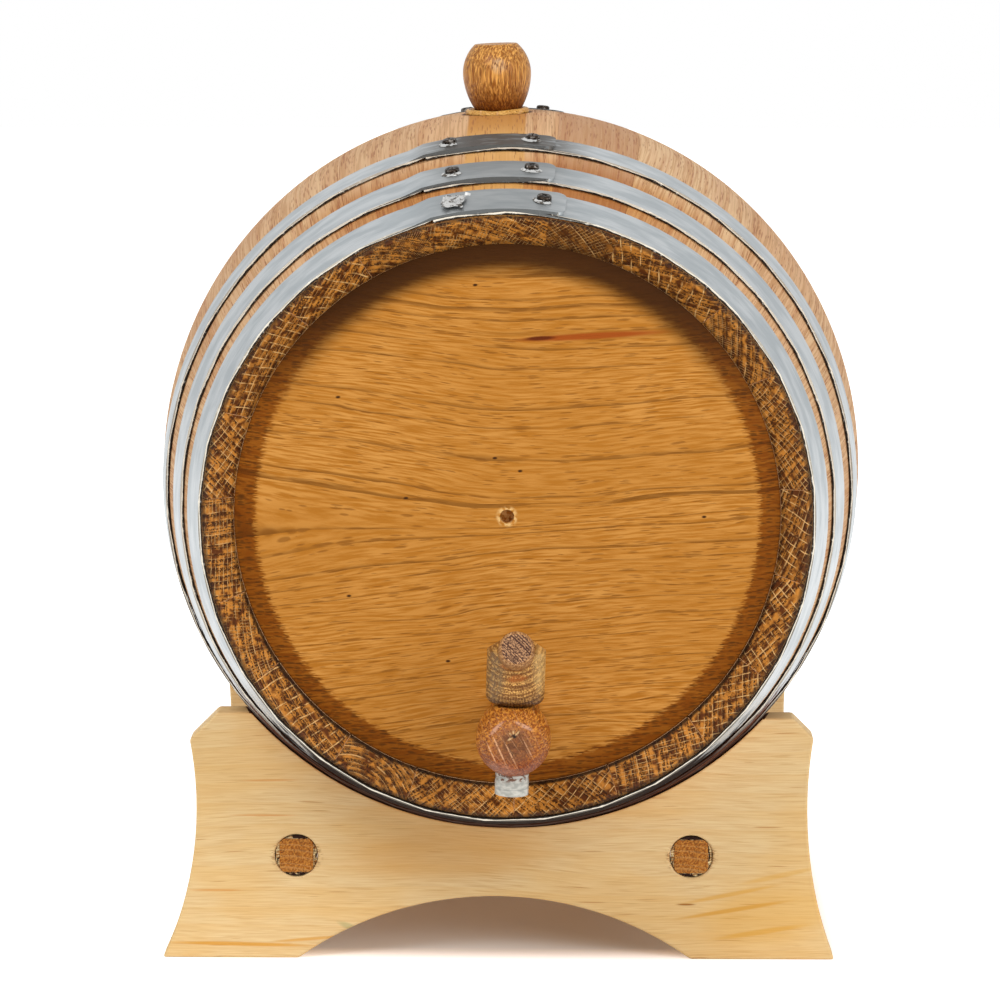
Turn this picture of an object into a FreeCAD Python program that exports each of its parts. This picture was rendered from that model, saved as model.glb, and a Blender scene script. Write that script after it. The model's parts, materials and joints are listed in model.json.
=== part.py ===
import FreeCAD, Part

# Ten-litre oak cask with a turned wooden tap and bung, lying on a two-board pine stand.
# Millimetres, +Z up, -Y towards the tap. The origin is on the floor, in the middle of the
# footprint. Each physical piece is written to its own file in parts/.

import math
import os

from FreeCAD import Placement, Rotation, Vector

# ---- Cask ------------------------------------------------------------------------------
CASK_LENGTH = 290.0            # over the stave ends
BILGE_RADIUS = 127.0           # outside, at the middle
BOW_DEPTH = 24.7               # how far the staves bulge over their ends
STAVE_THICKNESS = 12.5
CHIME_FLAT = 1.5               # flat left on the stave ends outside the chime bevel
CHIME_DEPTH = 9.0              # from the stave ends in to the croze
CROZE_MOUTH = 6.0
CROZE_FLOOR = 3.9
CROZE_DEPTH = 3.4

# Random widths, as staves are sawn. They are measured at the bilge, clockwise seen from
# the tap, and the set is drawn together until it closes the circle. The first is the
# bung stave.
STAVE_WIDTHS = (51, 30, 52, 36, 51, 40, 43, 37, 44, 45, 46, 35, 48, 37, 45, 38, 51, 37, 31)
BUNG_STAVE_START = -15.2       # degrees from the top

# ---- Heads -----------------------------------------------------------------------------
HEAD_RECESS = 7.0              # stave ends to the face of the head
HEAD_THICKNESS = 12.0
HEAD_TONGUE = 3.4              # edge that stands in the croze
HEAD_BEVEL = 11.8              # width of the bevel that thins the head to its tongue
HEAD_CLEARANCE = 0.15          # head edge to croze floor
CENTRE_HOLE_RADIUS = 2.4       # left by the lathe's drive pin
CENTRE_HOLE_DEPTH = 5.0

# ---- Hoops -----------------------------------------------------------------------------
HOOP_WIDTH = 17.0
HOOP_THICKNESS = 1.0
HOOP_SEAT = 0.05               # the edge nearer the bilge bears on the wood
HOOP_STAND_OFF = 0.5           # the edge nearer the chime stands off it
LAP_LENGTH = 46.0
LAP_RAMP = 6.0                 # the outer end climbs over the inner one in this length
LAP_INNER_GAP = 0.5
LAP_CORNER = 3.5
REAR_HOOP_TURN = 1.4           # degrees, rear laps against the front ones

# Distance from the stave ends, then places along the strap, to the right of the top.
HOOPS = {
    "head_hoop": {"setback": 0.0, "lap_end": 19.8, "screws": (-17.6, 12.4)},
    "quarter_hoop": {"setback": 26.5, "lap_end": 16.0, "screws": (-19.0, 8.0)},
    "bilge_hoop": {"setback": 61.0, "lap_end": 16.0, "screws": (-20.7, 8.0)},
}
EMPTY_SCREW_HOLE = ("front", "head_hoop", -17.6)

SCREW_HEAD_RADIUS = 2.5
SCREW_HEAD_HEIGHT = 1.9
SCREW_CROWN_RADIUS = 1.5
SCREW_SHANK_RADIUS = 1.3
SCREW_LENGTH = 10.0
SCREW_TIP = 2.5
SCREW_CLEARANCE = 0.03

# ---- Bung ------------------------------------------------------------------------------
BUNG_ANGLE = -2.2              # degrees from the top
BUNG_FLAT_DEPTH = 0.55         # planed off the bung stave round the hole
BUNG_PLUG_RADIUS = 6.6         # at the shoulder
BUNG_PLUG_END_RADIUS = 5.7
BUNG_PLUG_LENGTH = 18.0
BUNG_CLEARANCE = 0.06
KNOB_FOOT_RADIUS = 7.4
KNOB_RADIUS = 12.4
KNOB_TOP_RADIUS = 7.7
KNOB_WAIST_HEIGHT = 14.0       # shoulder to the widest place
KNOB_HEIGHT = 25.2

# ---- Tap -------------------------------------------------------------------------------
TAP_SIDE = 2.6                 # right of the cask's middle
TAP_RISE = 16.9                # over the bottom of the head's flat
TAP_INSIDE = 20.0              # shank past the head's inner face
TAP_SHANK_RADIUS = 8.4         # at the head's outer face
TAP_SHANK_END_RADIUS = 7.0
TAP_SHANK_CHAMFER = 1.0
TAP_COLLAR = 8.0               # the taper runs this far out of the head
TAP_NECK = 14.0
TAP_NECK_RADIUS = 7.7
TAP_BALL_START = 20.0
TAP_BALL_START_RADIUS = 8.6
TAP_BALL_MIDDLE = 39.0
TAP_BALL_RADIUS = 12.4
TAP_LENGTH = 49.0              # head's face to the tap's end
TAP_END_RADIUS = 8.2
TAP_FIT = 0.02                 # driven into the head
TAP_BORE_RADIUS = 3.0

KEY_REACH = 36.0               # head's face to the key's axis
KEY_SEAT_DEPTH = 1.2           # spot face, below the top of the ball
KEY_SEAT_RADIUS = 10.2
KEY_LIFT = 0.3                 # running gap over the spot face
KEY_LEAN = 2.0                 # degrees to the right
KEY_HEAD_RADIUS = 9.7
KEY_HEAD_HEIGHT = 21.8
KEY_HEAD_ROUND = 2.8
KEY_CONE_HEIGHT = 4.0
KEY_CONE_TOP_RADIUS = 3.9
STEM_RADIUS = 5.6
STEM_BORE_RADIUS = 3.8
STEM_SOCKET = 8.5              # pushed into the key head
STEM_BELOW_BALL = 7.0
STEM_CLEARANCE = 0.06          # turns in the tap body
STEM_ROOF = 1.5                # solid over the side port
GLUE_FIT = 0.02                # pegs and stems that are glued
PEG_RADIUS = 5.9
PEG_CHAMFER = 0.6
PEG_REACH = 19.0               # key's axis to the peg's end
PEG_ROOT = 2.5                 # past the key's axis, inside the head
PEG_HEIGHT = 15.8              # on the key's axis, over the key head's foot
PEG_TILT = 18.0

# ---- Stand -----------------------------------------------------------------------------
BOARD_THICKNESS = 12.0
BOARD_LEAD = 0.5               # outer face past the bilge hoop's edge
CRADLE_FLOOR = 46.4            # lowest place of the cradle over the floor
CRADLE_CLEARANCE = 0.3
# The boards are sawn by hand: cradle's depth below the top, cradle's corner out to the
# narrowest place, from there out to the foot, and the chamfer of the shoulder.
LEFT_SIDE = {"depth": 43.0, "waist": 20.1, "flare": 12.6, "chamfer": 9.9}
RIGHT_SIDE = {"depth": 41.4, "waist": 16.4, "flare": 10.1, "chamfer": 7.2}
WAIST_HEIGHT = 56.0
ARCH_SHIFT = -5.1              # to the left of the cask's middle
ARCH_HALF_WIDTH = 69.8
ARCH_HEIGHT = 22.8
RAIL_SHIFT = -5.4
RAIL_SIDE = 12.0
RAIL_HALF_SPACING = 70.1
RAIL_HEIGHT = 37.6
RAIL_HOLE_RADIUS = 7.6
RAIL_TENON_RADIUS = 7.5

# ---- Worked out from the sizes above ---------------------------------------------------
HALF_LENGTH = CASK_LENGTH / 2
CHIME_RADIUS = BILGE_RADIUS - BOW_DEPTH
BOW_RADIUS = (HALF_LENGTH ** 2 + BOW_DEPTH ** 2) / (2 * BOW_DEPTH)
CROZE_START = HALF_LENGTH - CHIME_DEPTH
CROZE_MIDDLE = CROZE_START - CROZE_MOUTH / 2
HEAD_FACE = HALF_LENGTH - HEAD_RECESS
BUNG_SHOULDER = BILGE_RADIUS - BUNG_FLAT_DEPTH
STAND_DEPTH = 2 * (HALF_LENGTH - HOOPS["bilge_hoop"]["setback"] + BOARD_LEAD)

CASK_AXIS = Vector(0, 1, 0)
UP = Vector(0, 0, 1)
ORIGIN = Vector(0, 0, 0)


def bow(along, inset=0.0):
    """Radius, this far from the cask's middle, of the stave's surface moved in by inset."""
    return math.sqrt((BOW_RADIUS - inset) ** 2 - along ** 2) - (BOW_RADIUS - BILGE_RADIUS)


HEAD_EDGE = bow(CROZE_MIDDLE, STAVE_THICKNESS) + CROZE_DEPTH - HEAD_CLEARANCE
HEAD_FLAT = HEAD_EDGE - HEAD_BEVEL
TAP_DROP = HEAD_FLAT - TAP_RISE
KEY_AXIS = Vector(TAP_SIDE, -HEAD_FACE - KEY_REACH, -TAP_DROP)
KEY_SEAT_HEIGHT = TAP_BALL_RADIUS - KEY_SEAT_DEPTH


def outline(plane, start, *steps):
    """A face on plane(u, v). A step is a point for a straight run or (via, end) for an arc."""
    edges = []
    here = plane(*start)
    for step in steps + (start,):
        if isinstance(step[0], tuple):
            via, end = (plane(*point) for point in step)
            edges.append(Part.Arc(here, via, end).toShape())
            here = end
        elif not here.isEqual(plane(*step), 1e-7):
            end = plane(*step)
            edges.append(Part.LineSegment(here, end).toShape())
            here = end
    return Part.Face(Part.Wire(edges))


def meridian(along, radius):
    return Vector(0, along, radius)


def upright(x, z):
    return Vector(x, 0, z)


def turned_upright(start, *steps):
    """A solid turned about +Z from (radius, height) points."""
    return outline(upright, start, *steps).revolve(ORIGIN, UP, 360)


def around_cask(shape, degrees):
    """Turns a shape clockwise about the cask's axis, seen from the tap."""
    return shape.rotated(ORIGIN, CASK_AXIS, degrees)


def mirrored_back(shape):
    return shape.mirror(ORIGIN, CASK_AXIS)


def rear_hoop(shape):
    """A front hoop's strap, screw or screw hole, moved to the rear one."""
    return around_cask(mirrored_back(shape), REAR_HOOP_TURN)


# ---- Staves ----------------------------------------------------------------------------
def stave_profile():
    """Lengthwise section: bowed outside, chime bevel, croze and bowed inside."""
    inside = STAVE_THICKNESS
    croze_floor = bow(CROZE_MIDDLE, inside) + CROZE_DEPTH
    croze_end = CROZE_START - CROZE_MOUTH
    end = (
        (HALF_LENGTH, CHIME_RADIUS),
        (HALF_LENGTH, CHIME_RADIUS - CHIME_FLAT),
        (CROZE_START, bow(CROZE_START, inside)),
        (CROZE_MIDDLE + CROZE_FLOOR / 2, croze_floor),
        (CROZE_MIDDLE - CROZE_FLOOR / 2, croze_floor),
        (croze_end, bow(croze_end, inside)),
    )
    other_end = tuple((-along, radius) for along, radius in reversed(end))
    inner_arc = ((0, BILGE_RADIUS - inside), other_end[0])
    outer_arc = ((0, BILGE_RADIUS), end[0])
    return outline(meridian, end[0], *end[1:], inner_arc, *other_end[1:], outer_arc)


def staves():
    """Every stave, jointed on radial planes."""
    profile = stave_profile()
    per_width = 360 / sum(STAVE_WIDTHS)
    start = BUNG_STAVE_START
    pieces = {}
    for number, width in enumerate(STAVE_WIDTHS, 1):
        stave = profile.revolve(ORIGIN, CASK_AXIS, width * per_width)
        name = "bung_stave" if number == 1 else f"stave_{number:02d}"
        pieces[name] = around_cask(stave, start)
        start += width * per_width
    pieces["bung_stave"] = pieces["bung_stave"].cut(bung_cutters() + screw_pilots())
    pieces["stave_02"] = pieces["stave_02"].cut(screw_pilots())
    return pieces


# ---- Heads -----------------------------------------------------------------------------
def head():
    """Front head, bevelled on both faces to a tongue, with the drive pin's hole."""
    half_tongue = HEAD_TONGUE / 2
    inner_face = HEAD_FACE - HEAD_THICKNESS
    section = outline(
        meridian, (-HEAD_FACE, 0), (-HEAD_FACE, HEAD_FLAT),
        (-CROZE_MIDDLE - half_tongue, HEAD_EDGE), (-CROZE_MIDDLE + half_tongue, HEAD_EDGE),
        (-inner_face, HEAD_FLAT), (-inner_face, 0))
    disc = section.revolve(ORIGIN, CASK_AXIS, 360)
    hole = Part.makeCylinder(
        CENTRE_HOLE_RADIUS, CENTRE_HOLE_DEPTH, Vector(0, -HEAD_FACE, 0), CASK_AXIS)
    return disc.cut(hole)


# ---- Hoops and their screws ------------------------------------------------------------
def hoop_line(setback):
    """Where a front hoop's inside lies: (along, radius) at its chime edge and bilge edge."""
    chime_edge = -HALF_LENGTH + setback
    bilge_edge = chime_edge + HOOP_WIDTH
    return (
        (chime_edge, bow(chime_edge) + HOOP_STAND_OFF),
        (bilge_edge, bow(bilge_edge) + HOOP_SEAT),
    )


def strap_section(setback, lift, degrees):
    """The strap's cross-section, lifted off the wood, at an angle round the cask."""
    (chime_edge, chime_radius), (bilge_edge, bilge_radius) = hoop_line(setback)
    low, high = lift, lift + HOOP_THICKNESS
    section = outline(
        meridian, (chime_edge, chime_radius + low), (chime_edge, chime_radius + high),
        (bilge_edge, bilge_radius + high), (bilge_edge, bilge_radius + low))
    return around_cask(section, degrees)


def degrees_along(length, radius):
    return math.degrees(length / radius)


def lap_corners(setback):
    """What is sheared off the two free corners of a lap that ends at the top."""
    spare = 2 * LAP_CORNER
    corners = []
    for edge, inward in zip((point[0] for point in hoop_line(setback)), (1, -1)):
        centre = Vector(-LAP_CORNER, edge + inward * LAP_CORNER, 0)
        square = Part.makeBox(
            LAP_CORNER + spare, LAP_CORNER + spare, 2 * BILGE_RADIUS,
            centre - Vector(0, LAP_CORNER + spare if inward > 0 else 0, 0))
        corners.append(square.cut(Part.makeCylinder(LAP_CORNER, 2 * BILGE_RADIUS, centre)))
    return corners


def hoop(setback, lap_end, screws):
    """A strap bent once round, its outer end lapped over the inner one at the top."""
    radius = hoop_line(setback)[1][1]
    end = degrees_along(lap_end, radius)
    start = degrees_along(lap_end - LAP_LENGTH, radius)
    ramp = degrees_along(LAP_RAMP, radius)
    gap = degrees_along(LAP_INNER_GAP, radius)

    turn = strap_section(setback, 0, start + gap).revolve(
        ORIGIN, CASK_AXIS, 360 - ramp - gap)
    climb = Part.makeLoft(
        [strap_section(setback, 0, start - ramp).OuterWire,
         strap_section(setback, HOOP_THICKNESS, start).OuterWire], True, True)
    lap = strap_section(setback, HOOP_THICKNESS, start).revolve(
        ORIGIN, CASK_AXIS, end - start)
    lap = lap.cut([around_cask(corner, end) for corner in lap_corners(setback)])
    strap = turn.fuse([climb, lap]).removeSplitter()
    holes = [screw_hole(setback, place) for place in screws]
    return strap.cut(holes)


def screw_seat(setback, place):
    """Puts a screw's own frame, +Z out of the wood, on the outside of the lap."""
    (chime_edge, chime_radius), (bilge_edge, bilge_radius) = hoop_line(setback)
    middle = Vector(
        0, (chime_edge + bilge_edge) / 2, (chime_radius + bilge_radius) / 2 + 2 * HOOP_THICKNESS)
    slope = math.degrees(math.atan2(bilge_radius - chime_radius, HOOP_WIDTH))
    around = Placement(ORIGIN, Rotation(CASK_AXIS, degrees_along(place, bilge_radius)))
    return around.multiply(Placement(middle, Rotation(Vector(1, 0, 0), slope)))


def placed(shape, placement):
    return shape.transformed(placement.toMatrix())


def screw(setback, place):
    """A pan-head screw with its point in the stave."""
    tip = SCREW_TIP - SCREW_LENGTH
    shape = turned_upright(
        (0, -SCREW_LENGTH), (SCREW_SHANK_RADIUS, tip), (SCREW_SHANK_RADIUS, 0),
        (SCREW_HEAD_RADIUS, 0), (SCREW_HEAD_RADIUS, SCREW_HEAD_HEIGHT / 2),
        (SCREW_CROWN_RADIUS, SCREW_HEAD_HEIGHT), (0, SCREW_HEAD_HEIGHT))
    return placed(shape, screw_seat(setback, place))


def screw_hole(setback, place):
    radius = SCREW_SHANK_RADIUS + SCREW_CLEARANCE
    shape = Part.makeCylinder(radius, 2 * SCREW_LENGTH, Vector(0, 0, -SCREW_LENGTH - radius))
    return placed(shape, screw_seat(setback, place))


def hoop_screws():
    """Every screw as one group. One hole of the front head hoop is left without."""
    screws = []
    for name, row in HOOPS.items():
        for place in row["screws"]:
            front = screw(row["setback"], place)
            screws.append(rear_hoop(front))
            if ("front", name, place) != EMPTY_SCREW_HOLE:
                screws.append(front)
    return Part.makeCompound(screws)


def screw_pilots():
    """The screws' holes in the wood, front and rear."""
    pilots = []
    for row in HOOPS.values():
        for place in row["screws"]:
            pilot = screw_hole(row["setback"], place)
            pilots += [pilot, rear_hoop(pilot)]
    return pilots


def hoops():
    pieces = {}
    for name, row in HOOPS.items():
        front = hoop(**row)
        pieces["front_" + name] = front
        pieces["rear_" + name] = rear_hoop(front)
    return pieces


# ---- Bung ------------------------------------------------------------------------------
def in_bung_hole(shape):
    """Moves a shape from its own frame, shoulder at the origin, into the bung stave."""
    return around_cask(shape.translated(Vector(0, 0, BUNG_SHOULDER)), BUNG_ANGLE)


def bung():
    """Turned knob on a tapered plug."""
    waist = (KNOB_RADIUS, KNOB_WAIST_HEIGHT)
    low = (KNOB_RADIUS - (KNOB_RADIUS - KNOB_FOOT_RADIUS) * 0.22, KNOB_WAIST_HEIGHT * 0.55)
    upper_rise = KNOB_HEIGHT - KNOB_WAIST_HEIGHT
    high = (KNOB_RADIUS - (KNOB_RADIUS - KNOB_TOP_RADIUS) * 0.29,
            KNOB_WAIST_HEIGHT + upper_rise * 0.6)
    shape = turned_upright(
        (0, -BUNG_PLUG_LENGTH), (BUNG_PLUG_END_RADIUS, -BUNG_PLUG_LENGTH),
        (BUNG_PLUG_RADIUS, 0), (KNOB_FOOT_RADIUS, 0), (low, waist),
        (high, (KNOB_TOP_RADIUS, KNOB_HEIGHT)), (0, KNOB_HEIGHT))
    return in_bung_hole(shape)


def bung_cutters():
    """The flat planed round the bung hole, and the tapered hole."""
    flat_side = 2 * BILGE_RADIUS
    flat = Part.makeBox(
        flat_side, flat_side, flat_side, Vector(-flat_side / 2, -flat_side / 2, 0))
    hole = Part.makeCone(
        BUNG_PLUG_END_RADIUS + BUNG_CLEARANCE, BUNG_PLUG_RADIUS + BUNG_CLEARANCE,
        BUNG_PLUG_LENGTH, Vector(0, 0, -BUNG_PLUG_LENGTH))
    return [in_bung_hole(flat), in_bung_hole(hole)]


# ---- Tap -------------------------------------------------------------------------------
def tap_point(out, radius):
    """A point this far out of the head's face, at a radius over the tap's axis."""
    return Vector(TAP_SIDE, -HEAD_FACE - out, radius - TAP_DROP)


TAP_CENTRE = tap_point(0, 0)


def tap_bore(radius_at_face, radius_at_end, inner_end):
    """The tapered round space that the shank takes, from well outside the head."""
    slope = (radius_at_face - radius_at_end) / inner_end
    outside = TAP_COLLAR
    return Part.makeCone(
        radius_at_face + slope * outside, radius_at_end, inner_end + outside,
        tap_point(outside, 0), CASK_AXIS)


def tap_inner_end():
    return HEAD_THICKNESS + TAP_INSIDE


def tap_hole():
    return tap_bore(TAP_SHANK_RADIUS + TAP_FIT, TAP_SHANK_END_RADIUS + TAP_FIT, tap_inner_end())


def tap_body():
    """Turned in one piece: tapered shank, neck and ball, bored for the flow and the key."""
    inner = -tap_inner_end()
    slope = (TAP_SHANK_RADIUS - TAP_SHANK_END_RADIUS) / -inner
    collar_radius = TAP_SHANK_RADIUS + slope * TAP_COLLAR
    chamfered = TAP_SHANK_END_RADIUS - TAP_SHANK_CHAMFER
    chamfer_end_radius = TAP_SHANK_END_RADIUS + slope * TAP_SHANK_CHAMFER
    rear_via = (
        TAP_BALL_START + (TAP_BALL_MIDDLE - TAP_BALL_START) * 0.5,
        TAP_BALL_START_RADIUS + (TAP_BALL_RADIUS - TAP_BALL_START_RADIUS) * 0.76)
    front_via = (
        TAP_BALL_MIDDLE + (TAP_LENGTH - TAP_BALL_MIDDLE) * 0.62,
        TAP_END_RADIUS + (TAP_BALL_RADIUS - TAP_END_RADIUS) * 0.7)
    body = outline(
        tap_point, (inner, 0), (inner, chamfered),
        (inner + TAP_SHANK_CHAMFER, chamfer_end_radius), (TAP_COLLAR, collar_radius),
        (TAP_NECK, TAP_NECK_RADIUS), (TAP_BALL_START, TAP_BALL_START_RADIUS),
        (rear_via, (TAP_BALL_MIDDLE, TAP_BALL_RADIUS)),
        (front_via, (TAP_LENGTH, TAP_END_RADIUS)), (TAP_LENGTH, 0),
    ).revolve(TAP_CENTRE, CASK_AXIS, 360)
    seat = Part.makeCylinder(
        KEY_SEAT_RADIUS, KEY_HEAD_HEIGHT, KEY_AXIS + Vector(0, 0, KEY_SEAT_HEIGHT))
    key_bore = Part.makeCylinder(
        STEM_RADIUS + STEM_CLEARANCE, 4 * TAP_BALL_RADIUS,
        KEY_AXIS - Vector(0, 0, 2 * TAP_BALL_RADIUS))
    flow = Part.makeCylinder(
        TAP_BORE_RADIUS, tap_inner_end() + KEY_REACH, KEY_AXIS, CASK_AXIS)
    return body.cut([leaned(seat), leaned(key_bore), flow])


def leaned(shape):
    """The key and its seat in the ball lean together."""
    return shape.rotated(KEY_AXIS, CASK_AXIS, KEY_LEAN)


KEY_FOOT = KEY_AXIS + Vector(0, 0, KEY_SEAT_HEIGHT + KEY_LIFT)
PEG_DIRECTION = Vector(
    0, -math.cos(math.radians(PEG_TILT)), math.sin(math.radians(PEG_TILT)))
PEG_START = KEY_FOOT + Vector(0, 0, PEG_HEIGHT) - PEG_DIRECTION * PEG_ROOT


def key_head():
    """Turned grip: round foot, straight sides and a coned top, bored for stem and peg."""
    foot = KEY_HEAD_RADIUS - KEY_HEAD_ROUND
    diagonal = KEY_HEAD_ROUND * math.sqrt(0.5)
    round_via = (foot + diagonal, KEY_HEAD_ROUND - diagonal)
    shape = turned_upright(
        (0, 0), (foot, 0), (round_via, (KEY_HEAD_RADIUS, KEY_HEAD_ROUND)),
        (KEY_HEAD_RADIUS, KEY_HEAD_HEIGHT - KEY_CONE_HEIGHT),
        (KEY_CONE_TOP_RADIUS, KEY_HEAD_HEIGHT), (0, KEY_HEAD_HEIGHT)).translated(KEY_FOOT)
    socket = Part.makeCylinder(STEM_RADIUS + GLUE_FIT, STEM_SOCKET, KEY_FOOT)
    peg_hole = Part.makeCylinder(
        PEG_RADIUS + GLUE_FIT, PEG_ROOT + PEG_REACH, PEG_START, PEG_DIRECTION)
    return leaned(shape.cut([socket, peg_hole]))


def key_peg():
    """Dowel handle, set into the grip at a tilt, with a chamfered end."""
    length = PEG_ROOT + PEG_REACH
    shape = turned_upright(
        (0, 0), (PEG_RADIUS, 0), (PEG_RADIUS, length - PEG_CHAMFER),
        (PEG_RADIUS - PEG_CHAMFER, length), (0, length))
    return leaned(placed(shape, Placement(PEG_START, Rotation(UP, PEG_DIRECTION))))


def key_stem():
    """Hollow stem. Its side port meets the tap's bore after a quarter turn."""
    top = KEY_FOOT + Vector(0, 0, STEM_SOCKET)
    bottom = KEY_AXIS - Vector(0, 0, TAP_BALL_RADIUS + STEM_BELOW_BALL)
    tube = Part.makeCylinder(STEM_RADIUS, top.z - bottom.z, bottom)
    bore_top = KEY_AXIS.z + TAP_BORE_RADIUS + STEM_ROOF
    bore = Part.makeCylinder(STEM_BORE_RADIUS, bore_top - bottom.z, bottom)
    port = Part.makeCylinder(TAP_BORE_RADIUS, 2 * STEM_RADIUS, KEY_AXIS, Vector(1, 0, 0))
    return leaned(tube.cut([bore, port]))


# ---- Stand -----------------------------------------------------------------------------
def cradle_radius(inward):
    """The cradles are bevelled to the bilge hoops: radius, from a board's outer face inward."""
    (chime_edge, chime_radius), (bilge_edge, bilge_radius) = hoop_line(
        HOOPS["bilge_hoop"]["setback"])
    share = (inward - STAND_DEPTH / 2 - chime_edge) / (bilge_edge - chime_edge)
    hoop_inside = chime_radius + share * (bilge_radius - chime_radius)
    return hoop_inside + HOOP_THICKNESS + CRADLE_CLEARANCE


AXIS_HEIGHT = CRADLE_FLOOR + cradle_radius(BOARD_THICKNESS)


def board_side(hand, side):
    """The outline's points on one side, from the cradle's corner down to the foot."""
    top = CRADLE_FLOOR + side["depth"]
    corner = math.sqrt(cradle_radius(0) ** 2 - (AXIS_HEIGHT - top) ** 2)
    waist = corner + side["waist"]
    foot = waist + side["flare"]
    side_radius = (side["flare"] ** 2 + WAIST_HEIGHT ** 2) / (2 * side["flare"])
    shoulder_height = top - side["chamfer"]
    rise = shoulder_height - WAIST_HEIGHT
    shoulder = waist + side_radius - math.sqrt(side_radius ** 2 - rise ** 2)
    return [
        (hand * corner, top), (hand * (shoulder - side["chamfer"]), top),
        (hand * shoulder, shoulder_height), (hand * waist, WAIST_HEIGHT), (hand * foot, 0)]


def front_board():
    """Shaped end board: cradle, chamfered shoulders, hollow sides and an arch between feet."""
    left_corner, left_top, left_shoulder, left_waist, left_foot = board_side(-1, LEFT_SIDE)
    right_corner, right_top, right_shoulder, right_waist, right_foot = board_side(1, RIGHT_SIDE)
    face = outline(
        upright, left_foot, (left_waist, left_shoulder), left_top, left_corner,
        right_corner, right_top, right_shoulder, (right_waist, right_foot),
        (ARCH_SHIFT + ARCH_HALF_WIDTH, 0),
        ((ARCH_SHIFT, ARCH_HEIGHT), (ARCH_SHIFT - ARCH_HALF_WIDTH, 0)))
    board = face.extrude(Vector(0, BOARD_THICKNESS, 0)).translated(
        Vector(0, -STAND_DEPTH / 2, 0))
    cradle = Part.makeCone(
        cradle_radius(-BOARD_THICKNESS), cradle_radius(2 * BOARD_THICKNESS),
        3 * BOARD_THICKNESS, Vector(0, -STAND_DEPTH / 2 - BOARD_THICKNESS, AXIS_HEIGHT),
        CASK_AXIS)
    holes = [
        Part.makeCylinder(
            RAIL_HOLE_RADIUS, STAND_DEPTH, rail_end(side), CASK_AXIS)
        for side in (-1, 1)]
    return board.cut([cradle] + holes)


def rail_end(side):
    return Vector(RAIL_SHIFT + side * RAIL_HALF_SPACING, -STAND_DEPTH / 2, RAIL_HEIGHT)


def rail(side):
    """Square rail, its corners taken off where it passes through the boards' round holes."""
    half = RAIL_SIDE / 2
    end = rail_end(side)
    bar = Part.makeBox(RAIL_SIDE, STAND_DEPTH, RAIL_SIDE, end - Vector(half, 0, half))
    rounded = Part.makeCylinder(RAIL_TENON_RADIUS, STAND_DEPTH, end, CASK_AXIS)
    between = Part.makeBox(
        2 * RAIL_SIDE, STAND_DEPTH - 2 * BOARD_THICKNESS, 2 * RAIL_SIDE,
        end + Vector(-RAIL_SIDE, BOARD_THICKNESS, -RAIL_SIDE))
    return bar.common(rounded.fuse(between))


# ---- The whole object ------------------------------------------------------------------
def cask_pieces():
    front_head = head()
    pieces = staves()
    pieces.update(hoops())
    pieces["hoop_screws"] = hoop_screws()
    pieces["front_head"] = front_head.cut(tap_hole())
    pieces["rear_head"] = mirrored_back(front_head)
    pieces["bung"] = bung()
    pieces["tap_body"] = tap_body()
    pieces["key_head"] = key_head()
    pieces["key_peg"] = key_peg()
    pieces["key_stem"] = key_stem()
    return pieces


def stand_pieces():
    board = front_board()
    return {
        "front_board": board,
        "rear_board": mirrored_back(board),
        "left_rail": rail(-1),
        "right_rail": rail(1),
    }


def footprint_middle():
    """How far the cask's middle lies behind the middle of the whole object."""
    tilt = math.radians(PEG_TILT)
    end_radius = PEG_RADIUS - PEG_CHAMFER
    reach = -KEY_AXIS.y + PEG_REACH * math.cos(tilt) + end_radius * math.sin(tilt)
    return (reach - HALF_LENGTH) / 2


def main():
    os.makedirs("parts", exist_ok=True)
    back = footprint_middle()
    for group, lift in ((cask_pieces(), AXIS_HEIGHT), (stand_pieces(), 0)):
        for name, shape in group.items():
            shape.translated(Vector(0, back, lift)).exportStep(f"parts/{name}.step")
    print("cask middle at y", round(back, 3))


main()
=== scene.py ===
import json
import math
import random

import bmesh
import bpy
from mathutils import Euler, Matrix, Vector, noise


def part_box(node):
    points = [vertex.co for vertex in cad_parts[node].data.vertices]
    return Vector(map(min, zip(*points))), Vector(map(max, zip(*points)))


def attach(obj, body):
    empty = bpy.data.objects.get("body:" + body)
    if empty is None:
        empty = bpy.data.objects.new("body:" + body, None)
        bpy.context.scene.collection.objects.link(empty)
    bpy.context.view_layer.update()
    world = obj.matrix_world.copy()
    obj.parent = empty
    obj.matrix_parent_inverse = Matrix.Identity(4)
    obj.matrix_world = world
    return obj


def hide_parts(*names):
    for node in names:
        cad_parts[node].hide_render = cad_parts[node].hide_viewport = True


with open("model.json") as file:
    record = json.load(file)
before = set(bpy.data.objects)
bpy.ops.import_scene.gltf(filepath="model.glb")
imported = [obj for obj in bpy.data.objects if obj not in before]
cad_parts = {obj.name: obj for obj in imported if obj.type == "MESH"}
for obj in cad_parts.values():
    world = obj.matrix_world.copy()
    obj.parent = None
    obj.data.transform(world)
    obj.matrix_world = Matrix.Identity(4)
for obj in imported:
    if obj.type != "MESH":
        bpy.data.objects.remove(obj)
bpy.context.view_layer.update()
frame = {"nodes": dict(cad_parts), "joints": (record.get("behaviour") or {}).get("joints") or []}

bl_info = {
    "name": "Oak Cask with Wooden Tap",
    "version": (1, 0, 0),
    "blender": (4, 5, 0),
    "location": "3D View > Sidebar > Cask",
    "description": "Finishes a small oak cask, its tap and bung, and the pine stand it lies on",
    "category": "Object",
}

MM = 0.001


def middle_of(node):
    """The middle of a CAD node's box, in metres."""
    low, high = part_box(node)
    return (low + high) / 2


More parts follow.
